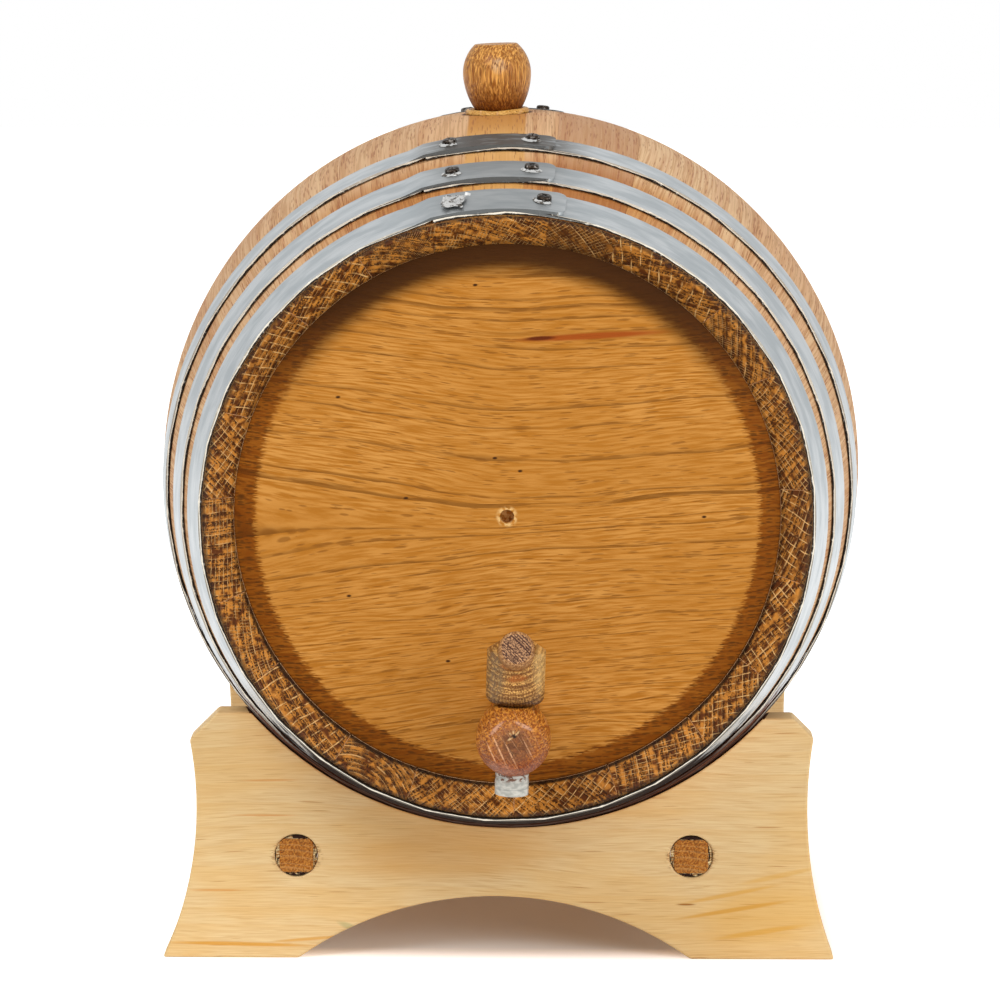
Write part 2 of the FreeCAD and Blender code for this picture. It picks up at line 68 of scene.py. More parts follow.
# ---- Places read from the frame --------------------------------------------------------
STAVES = sorted(name for name in frame["nodes"] if "stave" in name)
HOOPS = sorted(name for name in frame["nodes"] if name.endswith("_hoop"))
BOARDS = ("front_board", "rear_board")
RAILS = ("left_rail", "right_rail")
JOINTS = {joint["name"]: joint for joint in frame["joints"]}
KEY_PLACE = Vector(JOINTS["tap_key_turn"]["pos_m"])
STAVE_LOW, STAVE_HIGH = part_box("stave_02")
HEAD_MIDDLE = middle_of("front_head")
CASK = Vector((HEAD_MIDDLE.x, middle_of("stave_02").y, HEAD_MIDDLE.z))

# ---- Sizes in millimetres from the cask's middle or its axis ---------------------------
CASK_END = (STAVE_HIGH.y - STAVE_LOW.y) / 2 / MM
HOOP_EDGES = [(CASK.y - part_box(name)[0].y) / MM for name in HOOPS if name.startswith("front")]
BOW_DEPTH = 24.7               # the staves are bent by this much towards their ends
CHIME_INSIDE = 92.8            # the chime's bevel meets the head here
CHIME_OUTSIDE = 102.3          # and the head hoop's edge is here
HEAD_FLAT = 84.6               # the head is flat as far as this, then bevelled
FRONT_HEAD_DEPTH = -138.0
FRONT_BOARD_DEPTH = -84.5
BUNG_STAVE_ASIDE = -4.9
BUNG_HOLE_ASIDE = -5.4
LAPS_ASIDE = -3.0
ROUND_THE_AXIS = (1.0, 0.0, 1.0)

ALONG_Y = Matrix.Identity(3)
ALONG_Z = Euler((math.radians(90), 0, 0)).to_matrix()

noise.seed_set(1)              # without a seed, noise_vector gives a new shape each run


def linear(hex_colour):
    """An sRGB hex value as the linear colour that Blender's sockets take."""
    channels = [int(hex_colour[place:place + 2], 16) / 255 for place in (0, 2, 4)]
    return tuple(
        value / 12.92 if value <= 0.04045 else ((value + 0.055) / 1.055) ** 2.4
        for value in channels)


# ---- Settings --------------------------------------------------------------------------
class CaskSizes(bpy.types.PropertyGroup):
    stave_edge: bpy.props.FloatProperty(
        name="Stave Edge", description="How far a stave's arrises are eased",
        default=0.35 * MM, unit="LENGTH")
    board_edge: bpy.props.FloatProperty(
        name="Board Edge", description="Rounding that sanding gives the stand's boards",
        default=0.9 * MM, unit="LENGTH")
    turned_edge: bpy.props.FloatProperty(
        name="Turned Edge", description="Rounding on the turned pieces",
        default=0.5 * MM, unit="LENGTH")
    strap_edge: bpy.props.FloatProperty(
        name="Strap Edge", description="Burnished arris of the sheared hoop strap",
        default=0.12 * MM, unit="LENGTH")


class CaskColours(bpy.types.PropertyGroup):
    stave: bpy.props.FloatVectorProperty(
        name="Bare Oak", description="Outside of the staves", subtype="COLOR",
        default=linear("EAC597"))
    head: bpy.props.FloatVectorProperty(
        name="Oiled Oak", description="Face of the heads", subtype="COLOR",
        default=linear("C98D44"))
    pine: bpy.props.FloatVectorProperty(
        name="Pine", description="Boards of the stand", subtype="COLOR",
        default=linear("EED09A"))
    steel: bpy.props.FloatVectorProperty(
        name="Hoop Steel", description="Galvanised strap", subtype="COLOR",
        default=linear("BFC3C5"))


# ---- Shader nodes ----------------------------------------------------------------------
def connect(tree, node, inputs):
    """Sets or links a node's inputs, which go by their names or by their places.

    An input is a value, a hex colour, another node's socket, or a node for its first one."""
    for place, value in inputs.items() if isinstance(inputs, dict) else enumerate(inputs):
        if isinstance(value, bpy.types.Node):
            value = next(socket for socket in value.outputs if socket.enabled)
        if isinstance(value, bpy.types.NodeSocket):
            tree.links.new(value, node.inputs[place])
        else:
            colour = isinstance(value, str)
            node.inputs[place].default_value = (*linear(value), 1.0) if colour else value


def add(tree, kind, inputs=(), **settings):
    """Adds a shader node with its settings and its inputs."""
    node = tree.nodes.new("ShaderNode" + kind)
    for name, value in settings.items():
        setattr(node, name, value)
    connect(tree, node, inputs)
    return node


SOFT = {"interpolation_type": "SMOOTHSTEP"}


def new_material(name, roughness, **surface_values):
    material = bpy.data.materials.new(name)
    material.use_nodes = True
    tree = material.node_tree
    surface = tree.nodes["Principled BSDF"]
    surface.inputs["Roughness"].default_value = roughness
    for socket, value in surface_values.items():
        surface.inputs[socket.replace("_", " ")].default_value = value
    return material, tree, surface


def finish_surface(tree, surface, colour, height, relief):
    """Links colour and bump into the Principled shader."""
    bump = add(tree, "Bump", {"Height": height, "Distance": relief, "Strength": 1.0})
    connect(tree, surface, {"Base Color": colour, "Normal": bump.outputs["Normal"]})


# ---- Patterns, each one made of several nodes ------------------------------------------
def coats(tree, below, *layers):
    """Coats of colour over one another, each through its mask.

    A layer is a mask, a colour and, where it isn't plain paint, how it blends."""
    for mask, colour, *blend in layers:
        below = add(tree, "Mix", {0: mask, 6: below, 7: colour}, data_type="RGBA",
                    blend_type=blend[0] if blend else "MIX")
    return below


def millimetres(tree, centre=(0, 0, 0)):
    """A place on the object in millimetres from a centre: its vector, X, Y and Z."""
    place = add(tree, "Mapping", (
        add(tree, "TexCoord").outputs["Object"], centre, (0, 0, 0), (MM, MM, MM)),
        vector_type="TEXTURE")
    return place, *add(tree, "SeparateXYZ", (place,)).outputs


def off_from(tree, value, middle=0.0):
    """How far a value is from a middle, to either side."""
    off = add(tree, "Math", (value, middle), operation="SUBTRACT")
    return add(tree, "Math", (off,), operation="ABSOLUTE")


def length_of(tree, place, weights=ROUND_THE_AXIS):
    """How long a vector is when its parts are weighted, such as its distance from Y."""
    weighted = add(tree, "VectorMath", (place, weights), operation="MULTIPLY")
    return add(tree, "VectorMath", (weighted,), operation="LENGTH").outputs["Value"]


def lumps(tree, place, size, detail=2.0):
    """Noise with lumps of a size in millimetres."""
    stretched = add(tree, "VectorMath", (place, size), operation="DIVIDE")
    return add(tree, "TexNoise", {"Vector": stretched, "Scale": 1.0, "Detail": detail})


def streaks(tree, place, size, low=0.35, high=0.65, strength=1.0, detail=3.0):
    """Soft streaks of a size in millimetres, from 0 to a strength, which may be a mask."""
    cloud = lumps(tree, place, size, detail)
    return add(tree, "MapRange", (cloud, low, high, 0.0, strength), **SOFT)


def dashes(tree, place, size, reach, strength):
    """Dashes of many lengths, each one at most a share, reach, of a cell of a size."""
    stretched = add(tree, "VectorMath", (place, size), operation="DIVIDE")
    cell = add(tree, "TexVoronoi", {"Vector": stretched, "Scale": 1.0})
    chance = add(tree, "SeparateColor", (cell.outputs["Color"],))
    long = add(tree, "Math", (chance, reach), operation="MULTIPLY")
    half = add(tree, "Math", (long, 0.5), operation="MULTIPLY")
    return add(tree, "MapRange", (cell.outputs["Distance"], long, half, 0.0, strength),
               **SOFT)


def oval_marks(tree, place, depth, reach, marks, patches=None):
    """Ovals with soft edges as coats of colour, at a depth along Y and with a reach there.

    A mark is its place across and up, half its length, half its height, the angle by which
    it climbs to the right, its strength and its colour. Between patches, it is half as
    strong."""
    soft_ovals = []
    for across, up, half_length, half_height, climb, strength, colour in marks:
        oval = add(tree, "Mapping", (
            place, (across, depth, up), (0, -climb, 0), (half_length, reach, half_height)),
            vector_type="TEXTURE")
        off = add(tree, "VectorMath", (oval,), operation="LENGTH").outputs["Value"]
        if patches is not None:
            strength = add(tree, "MapRange", (patches, 0.0, 1.0, strength / 2, strength))
        soft_ovals.append((add(tree, "MapRange", (off, 1.0, 0.4, 0.0, strength), **SOFT), colour))
    return soft_ovals


# ---- Wood ------------------------------------------------------------------------------
# Every oak piece carries a "grain" attribute: its place in the tree in millimetres, with
# Y along the trunk and the pith on the Y axis. "tone" is how dark that plank is.
def ring_porous(tree, waver, ring):
    """Where a point of oak lies in the tree, which grew unevenly, and in its year."""
    grain = add(tree, "Attribute", attribute_name="grain").outputs["Vector"]
    drift = lumps(tree, grain, (45.0, 300.0, 45.0)).outputs["Color"]
    centred = add(tree, "VectorMath", (drift, (0.5,) * 3), operation="SUBTRACT")
    bent = add(tree, "VectorMath", (centred, (2 * waver,) * 3, grain),
               operation="MULTIPLY_ADD")
    radius = length_of(tree, bent)
    climate = add(tree, "TexNoise", {"W": radius, "Scale": 0.35 / ring},
                  noise_dimensions="1D")
    uneven = add(tree, "Math", (climate, 3.0), operation="MULTIPLY")
    years = add(tree, "Math", (radius, 1 / ring, uneven), operation="MULTIPLY_ADD")
    return bent, add(tree, "Math", (years,), operation="FRACT")


RAY_FADE = 0.05                # a ray's soft edge, as a share of the way between two rays


def oak_rays(tree, bent, rays, edge, strength):
    """The light lines that run out from the pith across the rings."""
    grain = add(tree, "Attribute", attribute_name="grain").outputs["Vector"]
    parts = add(tree, "SeparateXYZ", (bent,)).outputs
    angle = add(tree, "Math", (parts["Z"], parts["X"]), operation="ARCTAN2")
    wave = lumps(tree, grain, (16.0, 60.0, 16.0))
    turned = add(tree, "Math", (angle, rays, wave), operation="MULTIPLY_ADD")
    between = add(tree, "Math", (turned,), operation="FRACT")
    return add(tree, "MapRange", (
        off_from(tree, between, 0.5), edge, edge - RAY_FADE, 0.0, strength), **SOFT)


def bare_oak(base):
    """Bare oak, sawn and sanded: pale and dry, with open pores as long brown dashes."""
    material, tree, surface = new_material("bare_sanded_oak", 0.7, Specular_IOR_Level=0.25)
    bent, year = ring_porous(tree, waver=2.0, ring=5.0)
    tone = add(tree, "Attribute", attribute_name="tone").outputs["Fac"]
    pink = add(tree, "Attribute", attribute_name="pink").outputs["Fac"]
    fibre = streaks(tree, bent, (1.1, 70.0, 1.1))
    early = add(tree, "MapRange", (year, 0.5, 0.0, 0.0, 0.45), **SOFT)
    saw_line = streaks(tree, bent, (0.75, 60.0, 0.75), 0.46, 0.6, 0.6)

    # The staves are darker over the top, between the hoops.
    place, across, along, up = millimetres(tree, CASK)
    from_bung = off_from(tree, along)
    top_band = add(tree, "MapRange", (up, 78.0, 106.0), **SOFT)
    between_hoops = add(tree, "MapRange", (from_bung, 80.0, 104.0, 0.0, top_band), **SOFT)

    # Oil has run out of the bung hole over the stave that it is in.
    side = off_from(tree, across, BUNG_STAVE_ASIDE)
    on_top = add(tree, "MapRange", (up, 95.0, 96.0))
    strip = add(tree, "MapRange", (side, 10.6, 10.0, 0.0, on_top))
    wiped = add(tree, "MapRange", (from_bung, 100.0, 40.0, 0.62, 0.9), **SOFT)
    oiled = add(tree, "Math", (strip, wiped), operation="MULTIPLY")
    deep = add(tree, "MapRange", (from_bung, 78.0, 30.0), **SOFT)
    oil = coats(tree, "E2AA5E", (deep, "C4853A"))

    # A dark ring round the foot of the swollen lip of the bung hole is painted shadow.
    from_hole = millimetres(tree, CASK + Vector((BUNG_HOLE_ASIDE * MM, 0, 0)))[0]
    from_lip = off_from(tree, length_of(tree, from_hole, (1.0, 1.0, 0.0)), 12.0)
    lip_shadow = add(tree, "MapRange", (from_lip, 1.3, 0.5, 0.0, 0.95), **SOFT)

    # The pores are long reddish strokes, closest together at the start of a year.
    reach = add(tree, "MapRange", (year, 0.0, 0.8, 0.8, 0.4))
    pore = dashes(tree, bent, (0.6, 14.0, 0.6), reach, 0.6)

    # Dark patches against the hoops' edges: painted shadow of the gap under each hoop, partly
    # grime.
    edge_shade_and_grime = 0.0
    for edge in HOOP_EDGES:
        line = add(tree, "MapRange", (off_from(tree, from_bung, edge), 0.5, 0.1, 0.0, 0.7),
                   **SOFT)
        edge_shade_and_grime = add(tree, "Math", (edge_shade_and_grime, line), operation="MAXIMUM")
    patchy = streaks(tree, place, (6.0, 6.0, 6.0), 0.3, 0.55, edge_shade_and_grime)
    wood = coats(
        tree, "DDB288", (fibre, (*base, 1.0)), (pink, "DEAE80"), (early, "C68C58"),
        (tone, "AE7650"), (saw_line, "B98757"), (between_hoops, "DEBE8E", "MULTIPLY"),
        (oiled, oil), (lip_shadow, "5A3414"), (pore, "96552F"), (patchy, "4A301C"))
    depth = add(tree, "Math", (fibre, 0.3, pore), operation="MULTIPLY_ADD")
    height = add(tree, "Math", (depth, -1.0), operation="MULTIPLY")
    finish_surface(tree, surface, wood, height, 0.12 * MM)
    return material


def end_grain_oak():
    """Oiled end grain: the open ends drink oil and turn dark, and the rays stay light."""
    material, tree, surface = new_material(
        "oiled_end_grain_oak", 0.42, Specular_IOR_Level=0.1, Coat_Weight=0.1,
        Coat_Roughness=0.2)
    bent, year = ring_porous(tree, waver=3.0, ring=1.9)
    tone = add(tree, "Attribute", attribute_name="tone").outputs["Fac"]
    cloud = streaks(tree, bent, (2.6, 9.0, 2.6), 0.38, 0.62)

    # The pores lie in rows on the early half of each year, and fill with dirt. The rays
    # and the late wood make a light net between them, worn away in places.
    early = add(tree, "MapRange", (year, 0.62, 0.30), **SOFT)
    pore = streaks(tree, bent, (0.55, 6.0, 0.55), 0.44, 0.56, early)
    ray = oak_rays(tree, bent, 60.0, 0.085, 0.95)
    late = add(tree, "MapRange", (year, 0.86, 0.95, 0.0, 0.71), **SOFT)
    net = add(tree, "Math", (ray, late), operation="MAXIMUM")
    worn = streaks(tree, bent, (3.0, 9.0, 3.0), 0.38, 0.6, net)

    # The groove against the head and the band under the hoop's edge are painted nearly black:
    # painted shadow with some oil and dirt, deeper towards the bottom.
    place, _, _, up = millimetres(tree, CASK)
    out = length_of(tree, place)
    deeper_below = add(tree, "MapRange", (up, 10.0, -50.0, 0.4, 0.92), **SOFT)
    inner = add(tree, "MapRange", (
        out, CHIME_INSIDE + 1.0, CHIME_INSIDE + 0.2, 0.0, deeper_below), **SOFT)
    outer = add(tree, "MapRange", (
        out, CHIME_OUTSIDE - 1.6, CHIME_OUTSIDE - 0.4, 0.0, 0.7), **SOFT)
    edges = add(tree, "Math", (inner, outer), operation="MAXIMUM")
    wood = coats(tree, "5C2E0A", (cloud, "CC8636"), (tone, "4E2A0C"), (pore, "44240A"),
                 (worn, "F2C07C"), (edges, "1E0E03"))
    height = add(tree, "Math", (worn, pore), operation="SUBTRACT")
    finish_surface(tree, surface, wood, height, 0.25 * MM)
    return material


# Marks on the front head: a mineral streak, its darker heart, and pin knots.
HEAD_CLIMB = 0.06
HEAD_MARKS = (
    (28.0, 61.4, 32.0, 1.5, HEAD_CLIMB, 1.0, "9A4A16"),
    (11.0, 60.6, 7.0, 1.0, HEAD_CLIMB, 1.0, "5E260A"),
    *((across, up, 1.1, 0.6, HEAD_CLIMB, 1.0, "3E220C") for across, up in (
        (-10.7, 78.5), (-56.8, 40.6), (-34.1, 6.3), (4.4, 15.6), (66.4, 0.1),
        (-53.5, -27.3), (-20.0, -49.7), (-4.1, 20.0))),
)
WIDE_RING = 10.5
NARROW_RING = 4.4


def planed_head_oak(base):
    """Flat-sawn oak, planed and oiled: honey brown, with the rings as dark broken bands."""
    material, tree, surface = new_material("planed_oiled_oak", 0.5, Specular_IOR_Level=0.07)
    place, across, depth, up = millimetres(tree, CASK)

    # The rings open towards the left like a wedge, and climb a little to the right.
    drift = lumps(tree, place, (70.0, 40.0, 18.0))
    swayed = add(tree, "Math", (drift, 7.0, up), operation="MULTIPLY_ADD")
    right = add(tree, "Math", (across, 0.0, 30.0), operation="SMOOTH_MAX")
    level = add(tree, "Math", (right, -0.065, swayed), operation="MULTIPLY_ADD")
    mirrored = add(tree, "Math", (across, -1.0), operation="MULTIPLY")
    left = add(tree, "Math", (mirrored, 0.0, 30.0), operation="SMOOTH_MAX")
    steep = add(tree, "Math", (level, 1 / 12.0), operation="MULTIPLY")
    side = add(tree, "Math", (steep,), operation="TANH")
    opened = add(tree, "Math", (left, side), operation="MULTIPLY")
    ring_place = add(tree, "Math", (opened, -0.125, level), operation="MULTIPLY_ADD")

    # Wide rings above the middle, narrow ones below.
    below = add(tree, "Math", (ring_place, 0.0), operation="MINIMUM")
    closer = add(tree, "Math", (below, 1 / NARROW_RING - 1 / WIDE_RING),
                 operation="MULTIPLY")
    climate = add(tree, "TexNoise", {"W": ring_place, "Scale": 0.11, "Detail": 1.0},
                  noise_dimensions="1D")
    uneven = add(tree, "Math", (climate, 2.2, closer), operation="MULTIPLY_ADD")
    years = add(tree, "Math", (ring_place, 1 / WIDE_RING, uneven), operation="MULTIPLY_ADD")
    year = add(tree, "Math", (years,), operation="FRACT")
    grain = add(tree, "CombineXYZ", (ring_place, across, depth))
    fibre = streaks(tree, grain, (0.7, 12.0, 3.0), 0.36, 0.64, detail=4.0)
    cloud = streaks(tree, place, (60.0, 40.0, 22.0), 0.36, 0.6, 0.45)
    narrow = add(tree, "MapRange", (ring_place, -14.0, 4.0, 0.13, 0.26))
    band = add(tree, "MapRange", (year, narrow, 0.0, 0.0, 0.85), **SOFT)
    broken = streaks(tree, grain, (1.6, 26.0, 9.0), 0.3, 0.56, band)
    reach = add(tree, "MapRange", (year, 0.0, 0.45, 0.8, 0.46))
    pore = dashes(tree, grain, (0.7, 7.0, 2.0), reach, 0.6)
    marks = oval_marks(tree, place, FRONT_HEAD_DEPTH, 30.0, HEAD_MARKS)

    # The bevel cuts across the fibres: it drinks more oil, and its edge tears along them.
    out = length_of(tree, place)
    torn = streaks(tree, place, (4.0, 3.0, 0.5), 0.38, 0.62, 1.8)
    ragged = add(tree, "Math", (out, torn), operation="ADD")
    soft_edge = add(tree, "MapRange", (up, 20.0, 76.0, HEAD_FLAT + 2.0, HEAD_FLAT + 5.0))
    bevel = add(tree, "MapRange", (ragged, HEAD_FLAT + 0.9, soft_edge))
    cut = dashes(tree, place, (3.2, 2.0, 0.6), 0.8, 0.7)
    rough = add(tree, "Math", (cut, bevel), operation="MULTIPLY")

    # Under the chime's top and in the groove all round it, the head is painted dark: painted
    # shadow of the chime, deepest in the groove towards the bottom.
    high = add(tree, "MapRange", (up, 30.0, 76.0, 0.0, 0.96), **SOFT)
    upper = add(tree, "MapRange", (out, HEAD_FLAT - 5.0, HEAD_FLAT + 2.5, 0.0, high), **SOFT)
    deeper_below = add(tree, "MapRange", (up, 10.0, -50.0, 0.45, 0.9), **SOFT)
    groove = add(tree, "MapRange", (
        out, CHIME_INSIDE - 1.2, CHIME_INSIDE - 0.2, 0.0, deeper_below), **SOFT)
    painted_shade = add(tree, "Math", (upper, groove), operation="MAXIMUM")

    # The lathe pin's hole has a chipped, lighter rim.
    chip = add(tree, "MapRange", (out, 4.2, 2.6), **SOFT)
    chipped = streaks(tree, place, (1.6, 1.6, 1.6), 0.4, 0.6, chip)
    wood = coats(
        tree, "A96A20", (fibre, (*base, 1.0)), (cloud, "B07228"), (broken, "80501A"),
        (pore, "7A4814"), *marks, (bevel, "B89C60", "MULTIPLY"), (rough, "4A2A08"),
        (painted_shade, "3A1E04"), (chipped, "E2B878"))
    height = add(tree, "Math", (pore, -1.0, fibre), operation="MULTIPLY_ADD")
    finish_surface(tree, surface, wood, height, 0.06 * MM)
    return material


def turned_oak(name, light, dark, pore_colour, pore, reach=0.5, ring=1.7, ring_strength=0.5,
               ray_strength=0.5, tints=(), marks=(), marks_depth=0.0, marks_reach=1.0):
    """Oiled oak from the lathe: rings, torn pores and light rays on the end grain.

    The tints darken it from one height to another, and the marks are ovals of colour,
    some stain and some painted highlight or painted shade, both in millimetres from the tap's
    key."""
    material, tree, surface = new_material(
        name, 0.45, Specular_IOR_Level=0.15, Coat_Weight=0.12, Coat_Roughness=0.25)
    bent, year = ring_porous(tree, waver=1.0, ring=ring)
    place, _, _, up = millimetres(tree, KEY_PLACE)
    fibre = streaks(tree, bent, (0.6, 9.0, 0.6))
    early = add(tree, "MapRange", (year, 0.6, 0.1, 0.0, ring_strength), **SOFT)
    darkened = [(add(tree, "MapRange", (up, start, end), **SOFT), tint, "MULTIPLY")
                for start, end, tint in tints]
    patches = streaks(tree, place, (1.6, 1.6, 1.6), 0.35, 0.6)
    soft_ovals = oval_marks(tree, place, marks_depth, marks_reach, marks, patches)
    hole = dashes(tree, bent, pore, reach, 0.85)
    ray = oak_rays(tree, bent, 24.0, 0.08, ray_strength)
    worn = streaks(tree, bent, (4.0, 3.0, 4.0), 0.4, 0.55, ray)
    wood = coats(tree, dark, (fibre, light), (early, dark), *darkened, *soft_ovals,
                 (hole, pore_colour), (worn, "E2B080"))
    height = add(tree, "Math", (fibre, hole), operation="SUBTRACT")
    finish_surface(tree, surface, wood, height, 0.15 * MM)
    return material


# Golden bands and resin streaks on the front board, from the cask's middle.
BOARD_MARKS = (
    (-22.6, -130.8, 52.0, 12.0, 0.05, 0.45, "DDA24E"),
    (-96.0, -163.6, 34.0, 1.0, -0.02, 0.85, "DA9A34"),
    (-70.0, -161.6, 18.0, 0.8, 0.08, 0.7, "DA9A34"),
    (92.0, -152.0, 32.0, 15.0, 0.2, 0.4, "E6B050"),
    (80.0, -150.5, 26.0, 1.1, 0.17, 0.75, "D99C34"),
    (90.0, -158.5, 22.0, 1.4, 0.16, 0.65, "DFA43C"),
    (78.0, -145.0, 22.0, 1.1, 0.2, 0.6, "DFA43C"),
    (96.0, -138.0, 18.0, 1.3, 0.22, 0.5, "E2AC4C"),
    (63.0, -148.6, 4.4, 0.5, 0.0, 0.9, "9A601C"),
    (-85.0, -103.8, 13.0, 0.5, 0.02, 0.6, "D98F3E"),
    (-87.0, -116.5, 15.0, 0.5, 0.0, 0.6, "D98F3E"),
    (-104.0, -143.9, 12.0, 0.5, 0.0, 0.6, "D98F3E"),
    (-56.0, -157.5, 7.0, 1.6, -0.4, 0.5, "A3A06A"),
)


def planed_pine(base):
    """Bare planed pine: pale, softly ringed, with thin short streaks of resin."""
    material, tree, surface = new_material("planed_pine", 0.6, Specular_IOR_Level=0.3)
    place, across, depth, up = millimetres(tree)
    sway = lumps(tree, place, (180.0, 90.0, 60.0))
    level = add(tree, "Math", (sway, 18.0, up), operation="MULTIPLY_ADD")
    years = add(tree, "Math", (level, 1 / 7.0), operation="MULTIPLY")
    year = add(tree, "Math", (years,), operation="FRACT")
    grain = add(tree, "CombineXYZ", (level, across, depth))
    fibre = streaks(tree, grain, (0.45, 16.0, 5.0), 0.36, 0.64, detail=4.0)
    late = add(tree, "MapRange", (year, 0.35, 1.0, 0.0, 0.2), **SOFT)
    cloud = streaks(tree, place, (60.0, 60.0, 26.0), 0.42, 0.62, 0.25)
    line = streaks(tree, grain, (0.55, 15.0, 5.0), 0.57, 0.68, 0.3, detail=1.0)
    resin = dashes(tree, grain, (1.3, 34.0, 4.0), 0.22, 0.65)
    marks = oval_marks(tree, millimetres(tree, CASK)[0], FRONT_BOARD_DEPTH, 30.0,
                        BOARD_MARKS)

    # The drill has torn the fibres out of both sides of the rails' holes.
    strand = streaks(tree, place, (1.8, 4.0, 0.45), 0.5, 0.57, 0.7)
    torn = []
    for rail in RAILS:
        from_hole = millimetres(tree, middle_of(rail))[0]
        out = length_of(tree, from_hole, (1.0, 0.0, 1.3))
        edge = add(tree, "MapRange", (out, 10.2, 8.0, 0.0, strand), **SOFT)
        torn.append((edge, "9A5E20"))
    wood = coats(tree, "E4C18A", (fibre, (*base, 1.0)), (late, "E0AE62"), (cloud, "E9B256"),
                 (line, "C89450"), (resin, "B87830"), *marks, *torn)
    finish_surface(tree, surface, wood, fibre, 0.03 * MM)
    return material


def fibres_and_slot_shade():
    """Pine fibres torn by the drill: pale, with painted shade in the slots where the rail leaves
    a gap.
    """
    material, tree, surface = new_material("torn_pine_fibres_and_slot_shade", 0.7, Specular_IOR_Level=0.2)
    place, _, _, up = millimetres(tree)
    strand = streaks(tree, place, (2.4, 2.0, 0.35), 0.42, 0.58)
    off = off_from(tree, up, middle_of("left_rail").z / MM)
    patch = streaks(tree, place, (5.0, 5.0, 5.0), 0.38, 0.46)
    beyond_rail = add(tree, "MapRange", (off, 6.0, 6.3, 0.0, patch), **SOFT)
    gap = streaks(tree, place, (1.4, 2.0, 5.0), 0.55, 0.6)
    # Painted shade in the open slots beside the rail.
    slot_shade = add(tree, "Math", (beyond_rail, gap), operation="MAXIMUM")
    wood = coats(tree, "B87A3A", (strand, "F6DEA8"), (slot_shade, "2A1206"))
    finish_surface(tree, surface, wood, strand, 0.3 * MM)
    return material


def sawn_hardwood():
    """Brown hardwood, cross-cut by a saw: dull end grain with lighter bands."""
    material, tree, surface = new_material("sawn_brown_hardwood", 0.6,
                                           Specular_IOR_Level=0.25)
    bent, year = ring_porous(tree, waver=3.0, ring=2.6)
    fibre = streaks(tree, bent, (0.8, 9.0, 0.8))
    late = add(tree, "MapRange", (year, 0.55, 0.95, 0.0, 0.5), **SOFT)
    pore = dashes(tree, bent, (0.6, 6.0, 0.6), 0.8, 0.6)
    wood = coats(tree, "98520C", (fibre, "CA8634"), (late, "CF9A5A"), (pore, "5A2C0C"))
    finish_surface(tree, surface, wood, fibre, 0.1 * MM)
    return material


# ---- Metal and plastic, and finishes of two tones --------------------------------------
def two_tones(name, roughness, metallic, pattern, below, above, relief):
    """A surface of two tones that also differ a little in height."""
    material, tree, surface = new_material(name, roughness, Metallic=metallic)
    mask = streaks(tree, millimetres(tree)[0], *pattern)
    finish_surface(tree, surface, coats(tree, below, (mask, above)), mask, relief)
    return material


def oiled_shaded_cradle():
    """Sawn pine end grain in the cradle, dark partly with the oil that runs off the cask and
    partly as painted shade under it.
    """
    return two_tones("oil_stained_shaded_pine", 0.5, 0.0, ((9.0, 1.2, 9.0),),
                     "2E1606", "5E2F10", 0.1 * MM)


def dark_zinc():
    """Zinc-plated screws gone dark, with a few bright scuffs."""
    return two_tones("dark_zinc_screw", 0.4, 1.0, ((1.1, 1.1, 1.1), 0.48, 0.66, 0.6),
                     "2E2620", "9A948E", 0.03 * MM)


def torn_steel():
    """Strap torn by a drill: bright broken metal with dark creases."""
    return two_tones("torn_bright_steel", 0.35, 1.0, ((1.7, 1.7, 1.7), 0.5, 0.6, 0.9),
                     "CCCCCA", "4A4034", 0.06 * MM)


def galvanised_strap(base):
    """Rolled and galvanised strap: a soft grey sheen with faint marks along the roll."""
    material, tree, surface = new_material("galvanised_strap", 0.48, Metallic=1.0)
    place, across, along, up = millimetres(tree, CASK)
    cloud = streaks(tree, place, (16.0, 6.0, 16.0))
    mark = streaks(tree, place, (10.0, 0.45, 10.0), 0.5, 0.7, 0.35)

    # The laps at the top are painted darker, most of all near the bung: a painted darker
    # reflection on the metal's top.
    side = off_from(tree, across, LAPS_ASIDE)
    from_bung = off_from(tree, along)
    high = add(tree, "MapRange", (up, 60.0, 70.0))
    lap = add(tree, "MapRange", (side, 36.0, 8.0, 0.0, high), **SOFT)
    dark = add(tree, "MapRange", (from_bung, 128.0, 76.0, 0.4, 0.9), **SOFT)
    top_shade = add(tree, "Math", (lap, dark), operation="MULTIPLY")

    # A brown film lies in patches between the screws of the bilge hoop.
    by_bung = add(tree, "MapRange", (from_bung, 96.0, 84.0, 0.0, lap), **SOFT)
    patchy = streaks(tree, place, (7.0, 2.4, 7.0), 0.35, 0.5, 0.92)
    film = add(tree, "Math", (by_bung, patchy), operation="MULTIPLY")

    # The bottom of every hoop is painted dark brown and dull, darkest near the ends: painted
    # shade and dark reflection of the cradle and floor under the cask.
    start = add(tree, "MapRange", (from_bung, 120.0, 128.0, -54.0, -62.0))
    end = add(tree, "Math", (start, 14.0), operation="SUBTRACT")
    ragged_rise = streaks(tree, place, (9.0, 5.0, 9.0), 0.35, 0.65, 14.0)
    level = add(tree, "Math", (up, ragged_rise), operation="ADD")
    under = add(tree, "MapRange", (level, start, end, 0.0, 0.97), **SOFT)
    near_end = add(tree, "MapRange", (from_bung, 112.0, 128.0))
    painted_shade = coats(tree, "5A2A0E", (near_end, "1C0C05"))
    metal = coats(tree, "A9AFB2", (cloud, (*base, 1.0)), (mark, "8C9398"), (top_shade, "585652"),
                  (film, "3C3228"), (under, painted_shade))
    connect(tree, surface, {
        "Metallic": add(tree, "MapRange", (under, 0.0, 1.0, 1.0, 0.0)),
        "Roughness": add(tree, "MapRange", (under, 0.0, 1.0, 0.48, 0.95)),
        "Specular IOR Level": add(tree, "MapRange", (under, 0.0, 1.0, 0.5, 0.02))})
    finish_surface(tree, surface, metal, mark, 0.02 * MM)
    return material


